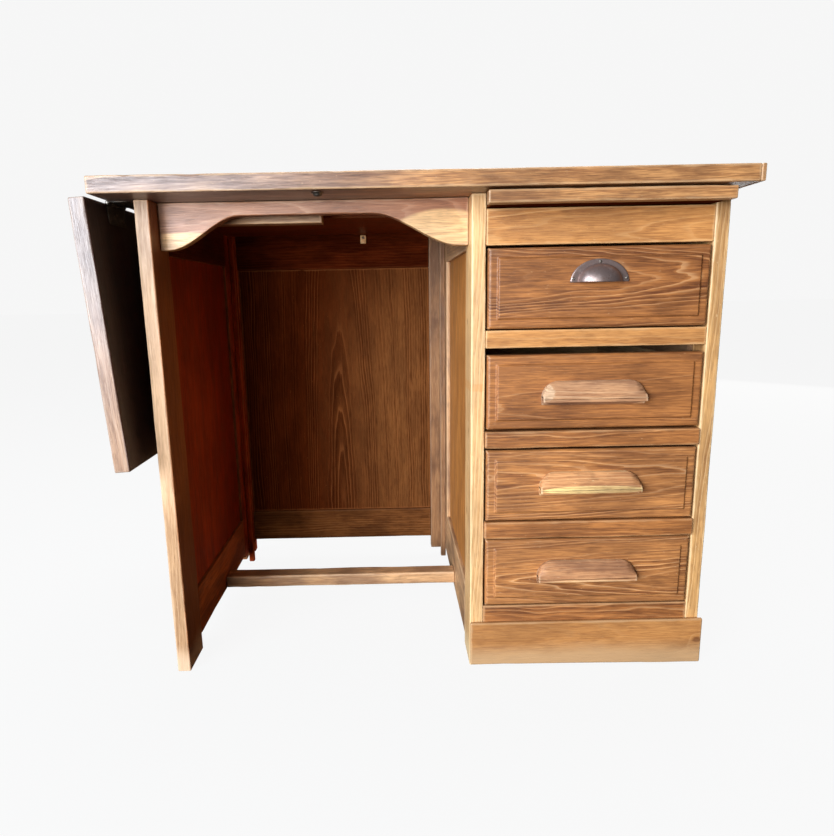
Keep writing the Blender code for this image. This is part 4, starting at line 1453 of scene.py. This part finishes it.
@dataclass
class BarPull:
    """Wooden bar pull with a finger groove and quarter-round top corners.

    Attributes:
        node: CAD node that it replaces.
        corner: radius of the top corners.
        curl: rounding of the ends.
    """

    node: str
    corner: float = 0.0250
    curl: float = 0.0016

    def build(self) -> None:
        """Carry the pull's section along X, cut down by its rounded top corners.

        At a distance e from an end the top may stand no higher than the quarter circle
        of the corner radius c: bottom + (H - c) + sqrt(c^2 - (c - e)^2).
        """
        low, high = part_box(self.node)
        height, reach = high.z - low.z, high.y - low.y
        corners = [(0.0, height), (0.0040, height), (reach - 0.0020, 0.0128), (reach, 0.0085),
                   (reach, 0.0052), (reach - 0.0035, 0.0050), (reach - 0.0055, 0.0105),
                   (0.0060, 0.0105), (0.0042, 0.0), (0.0, 0.0)]
        radii = (0.0002, 0.0030, 0.0036, 0.0014, 0.0012, 0.0012, 0.0016, 0.0012, 0.0004, 0.0002)
        section = rounded_outline(corners, radii, 5)
        curl = self.curl
        turn = np.linspace(0, QUARTER_TURN, 5)
        head = curl * (1 - np.sin(turn[::-1]))
        shrink = curl * (1 - np.cos(turn[::-1]))
        ends = np.concatenate([head, np.linspace(0.0022, self.corner, 16)])
        middle = np.linspace(self.corner, (high.x - low.x) / 2, 12)[1:]
        half = np.concatenate([[0.0, 0.0], ends, middle])
        inset = np.concatenate([[1.0, curl + 0.0008], shrink, np.zeros(16 + len(middle))])
        places = np.concatenate([low.x + half, high.x - half[::-1][1:]])
        inset = np.concatenate([inset, inset[::-1][1:]])
        from_end = np.minimum(places - low.x, high.x - places)
        top = height - self.corner + np.sqrt(
            np.clip(self.corner**2 - np.clip(self.corner - from_end, 0, None) ** 2, 0, None))
        out = np.broadcast_to(section[:, 0], (len(places), len(section)))
        up = np.minimum(section[:, 1][None, :], top[:, None])
        centre = np.array([reach * 0.35, height * 0.40])
        share = np.clip(inset / (reach * 0.5), 0, 1)[:, None]
        out = out + (centre[0] - out) * share
        up = up + (centre[1] - up) * share
        random = np.random.default_rng(sum(map(ord, self.node)))
        sway = 0.008 * (ripple(places, random, 0.08) - 0.5)[:, None]
        grid = np.stack([np.broadcast_to(places[:, None], out.shape),
                         high.y - out * (1 + sway), low.z + up], axis=-1)
        grid[..., 1] = np.clip(grid[..., 1], low.y, high.y)
        made = grid_object(f"{self.node}_carved", grid, BODY_OF[self.node])
        finish, patches = PULL_FINISHES[self.node]
        seed = sum(map(ord, self.node)) % 31
        dress_oak(made, OakDressing(finish, Grain.X, low, high, Cut.RIFT, seed, (), patches))
        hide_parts(self.node)
        LOG.info("bar pull %s", self.node)


PULL_FINISHES = {
    # Painted highlight on the pull's lit left end, and painted shade along its bottom, which faces down.
    "drawer_2_bar_pull": (
        Oak("pull_oak_2", "oak_top", (0.54, 0.30, 0.165), (0.30, 0.13, 0.060),
            (0.12, 0.045, 0.02), (0.72, 0.50, 0.32), streak=0.5),
        (Patch(-0.072, 0.002, 0.012, 0.012, (0.78, 0.60, 0.42), 0.6),
         Patch(0.0, -0.0155, 0.074, 0.0035, (0.20, 0.08, 0.04), 0.7, 0.4))),
    # Painted highlight: a bright strip on the lip's front, which catches the light.
    "drawer_3_bar_pull": (
        Oak("pull_oak_3", "oak_top", (0.60, 0.30, 0.135), (0.34, 0.13, 0.05),
            (0.12, 0.045, 0.02), (0.84, 0.62, 0.34), streak=0.5, rub=0.65),
        (Patch(0.004, -0.0078, 0.080, 0.0058, (1.0, 0.76, 0.34), 1.0, 0.12),)),
    # Painted highlight: a paler strip on the lip's front, which catches the light.
    "drawer_4_bar_pull": (
        Oak("pull_oak_4", "oak_top", (0.52, 0.26, 0.125), (0.27, 0.11, 0.05),
            (0.10, 0.035, 0.02), (0.62, 0.42, 0.26), streak=0.5),
        (Patch(0.0, -0.0125, 0.072, 0.0030, (0.80, 0.54, 0.30), 0.7, 0.5),)),
}


@dataclass
class CupPull:
    """Cast cup pull: a hollow quarter-ellipsoid on a half-round flange, with three screws.

    Attributes:
        node: CAD node that it replaces.
        wall: thickness of the dome.
        flange: thickness of the flange.
        dome_width: half the width of the dome.
        dome_height: its height.
    """

    node: str
    wall: float = 0.0018
    flange: float = 0.0019
    dome_width: float = 0.0330
    dome_height: float = 0.0265

    def build(self) -> None:
        """Make the dome, the flange and the screw heads."""
        low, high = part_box(self.node)
        body = BODY_OF[self.node]
        centre_x, back, depth = (low.x + high.x) / 2, high.y, high.y - low.y
        theta = np.linspace(0, math.pi, 41)[:, None]
        phi = np.linspace(0, QUARTER_TURN, 17)[None, :]
        dome = np.stack([
            centre_x + self.dome_width * np.cos(theta) * np.cos(phi),
            back - 0.0004 - (depth - 0.0006) * np.sin(phi) * np.ones_like(theta),
            low.z + 0.0003 + self.dome_height * np.sin(theta) * np.cos(phi)], axis=-1)
        shell = grid_object("cup_pull_dome", dome, body, wrap_columns=False)
        thicken = shell.modifiers.new("wall", "SOLIDIFY")
        thicken.thickness = self.wall
        thicken.offset = -1.0
        soften = shell.modifiers.new("rim", "BEVEL")
        soften.width = 0.0005
        soften.segments = 2
        soften.limit_method = "ANGLE"
        self.dress(shell)
        half, rise = (high.x - low.x) / 2, high.z - low.z
        angle = np.linspace(0, math.pi, 49)
        outline = np.stack([half * np.cos(angle), rise * np.sin(angle)], axis=-1)
        base = np.stack([np.linspace(-half, half, 20)[1:-1], np.zeros(18)], axis=-1)
        outline = np.concatenate([outline, base])
        scale = np.array([0.0, 0.97, 1.0, 1.0, 0.985, 0.96, 0.90, 0.0])
        front = np.array([0.0, 0.0, 0.0, 0.5, 0.85, 1.0, 1.0, 1.0]) * self.flange
        heart = np.array([0.0, 0.35 * rise])
        rings = heart + (outline - heart) * scale[:, None, None]
        grid = np.stack([centre_x + rings[..., 0],
                         back - front[:, None] * np.ones(len(outline)),
                         low.z + rings[..., 1]], axis=-1)
        plate = grid_object("cup_pull_flange", grid, body)
        self.dress(plate)
        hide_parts(self.node)
        facing = Vector((0, -1, 0))
        places = ((0.0, rise - 0.0042, 0.3), (-half + 0.0046, 0.0053, 1.1),
                  (half - 0.0046, 0.0053, 2.2))
        for number, (x, z, turn) in enumerate(places):
            seat = Vector((centre_x + x, back - self.flange + 0.0002, low.z + z))
            screw_head(f"cup_pull_screw_{number + 1}", seat, facing, 0.0022, body, turn, OLD_STEEL)
        LOG.info("cup pull")

    def dress(self, piece: bpy.types.Object) -> None:
        """Put gunmetal on one piece."""
        piece.data.materials.append(metal_material(f"{piece.name}_gunmetal", GUNMETAL))


# --------------------------------------------------------------------------- studio
@dataclass
class Studio:
    """Camera, lights, floor and surroundings.

    Attributes:
        eye: where the camera stands.
        pitch, yaw, roll: how it is turned, in radians; pitch looks down.
        lens: focal length for a 36 mm long side.
        shift: sideways and upward shift of the frame.
        paper: brightness of the surroundings, as seen.
        ambient: their brightness as a light.
        floor_glow: brightness of the floor, as seen.
    """

    eye: Vector = field(default_factory=lambda: Vector((-0.0399, -1.1416, 0.6014)))
    pitch: float = 0.1936
    yaw: float = 0.0038
    roll: float = -0.0198
    lens: float = 26.47
    shift: tuple[float, float] = (0.0271, 0.0008)
    paper: float = 0.925
    ambient: float = 0.03
    floor_glow: float = 0.912

    def build(self) -> None:
        """Set up everything around the desk."""
        bpy.context.scene.view_settings.view_transform = "Standard"
        self.build_camera()
        self.build_floor()
        self.build_world()
        for name, place, aim, size, power, colour in (
                ("window", (-2.0, -2.5, 1.25), (0, 0.1, 0.40), 1.9, 200.0, (0.80, 0.90, 1.0)),
                ("room", (-0.9, -3.1, 0.50), (0.25, 0, 0.28), 1.1, 54.0, (1.0, 0.93, 0.84)),
                ("skylight", (0.1, 0.6, 2.7), (0, 0.1, 0.7), 1.6, 55.0, (0.95, 0.97, 1.0)),
                ("rear", (2.3, 2.4, 1.5), (0, 0.1, 0.4), 3.0, 85.0, (1.0, 0.98, 0.95))):
            self.area_light(name, Vector(place), Vector(aim), size, power, colour)

    def build_camera(self) -> None:
        """Camera with its axes worked out from pitch, yaw and roll."""
        forward = Vector((math.sin(self.yaw) * math.cos(self.pitch),
                          math.cos(self.yaw) * math.cos(self.pitch), -math.sin(self.pitch)))
        level = Vector((math.cos(self.yaw), -math.sin(self.yaw), 0))
        upright = level.cross(forward)
        right = math.cos(self.roll) * level + math.sin(self.roll) * upright
        top = math.cos(self.roll) * upright - math.sin(self.roll) * level
        camera = bpy.data.objects.new("camera", bpy.data.cameras.new("camera"))
        turn = Matrix((right, top, -forward)).transposed().to_4x4()
        camera.matrix_world = Matrix.Translation(self.eye) @ turn
        camera.data.lens = self.lens
        camera.data.shift_x, camera.data.shift_y = self.shift
        camera.data.clip_start = 0.01
        bpy.context.scene.collection.objects.link(camera)
        bpy.context.scene.camera = camera

    def build_floor(self) -> None:
        """Pale floor that glows a little, so that it stays as plain as studio paper."""
        mesh = bpy.data.meshes.new("floor")
        reach = 40.0
        mesh.from_pydata([(-reach, -reach, 0), (reach, -reach, 0), (reach, reach, 0),
                          (-reach, reach, 0)], [], [(0, 1, 2, 3)])
        floor = bpy.data.objects.new("floor", mesh)
        bpy.context.scene.collection.objects.link(floor)
        web = Web("floor_paper")
        seen = Flow(web, web.node("ShaderNodeLightPath").outputs["Is Camera Ray"])
        web.shade(Base_Color=(0.03, 0.03, 0.03), Roughness=0.95, Specular_IOR_Level=0.0,
                  Emission_Color=(1, 1, 1), Emission_Strength=seen * self.floor_glow)
        mesh.materials.append(web.material)

    def build_world(self) -> None:
        """Even surroundings: paper white to the eye, dimmer as a light."""
        world = bpy.data.worlds.new("surroundings")
        world.use_nodes = True
        tree = world.node_tree
        shade = tree.nodes["Background"]
        path = tree.nodes.new("ShaderNodeLightPath")
        step = tree.nodes.new("ShaderNodeMapRange")
        step.inputs["To Min"].default_value = self.ambient
        step.inputs["To Max"].default_value = self.paper
        tree.links.new(path.outputs["Is Camera Ray"], step.inputs["Value"])
        tree.links.new(step.outputs[0], shade.inputs["Strength"])
        shade.inputs["Color"].default_value = (1, 1, 1, 1)
        bpy.context.scene.world = world

    def area_light(self, name: str, place: Vector, aim: Vector, size: float, power: float,
                   colour: Rgb) -> None:
        """Square soft light.

        Args:
            name: its name.
            place: where it stands.
            aim: point that it faces.
            size: length of its sides.
            power: its power in watts.
            colour: its colour.
        """
        data = bpy.data.lights.new(name, "AREA")
        data.size, data.energy, data.color = size, power, colour
        light = bpy.data.objects.new(name, data)
        light.location = place
        light.rotation_euler = (aim - place).to_track_quat("-Z", "Y").to_euler()
        bpy.context.scene.collection.objects.link(light)


def main() -> None:
    """Build the desk and its surroundings."""
    logging.basicConfig(level=logging.INFO)
    TopAndLeaf().build()
    Sides().build()
    Kneehole().build()
    Case().build()
    Drawers().build()
    Studio().build()


if __name__ == "__main__":
    main()
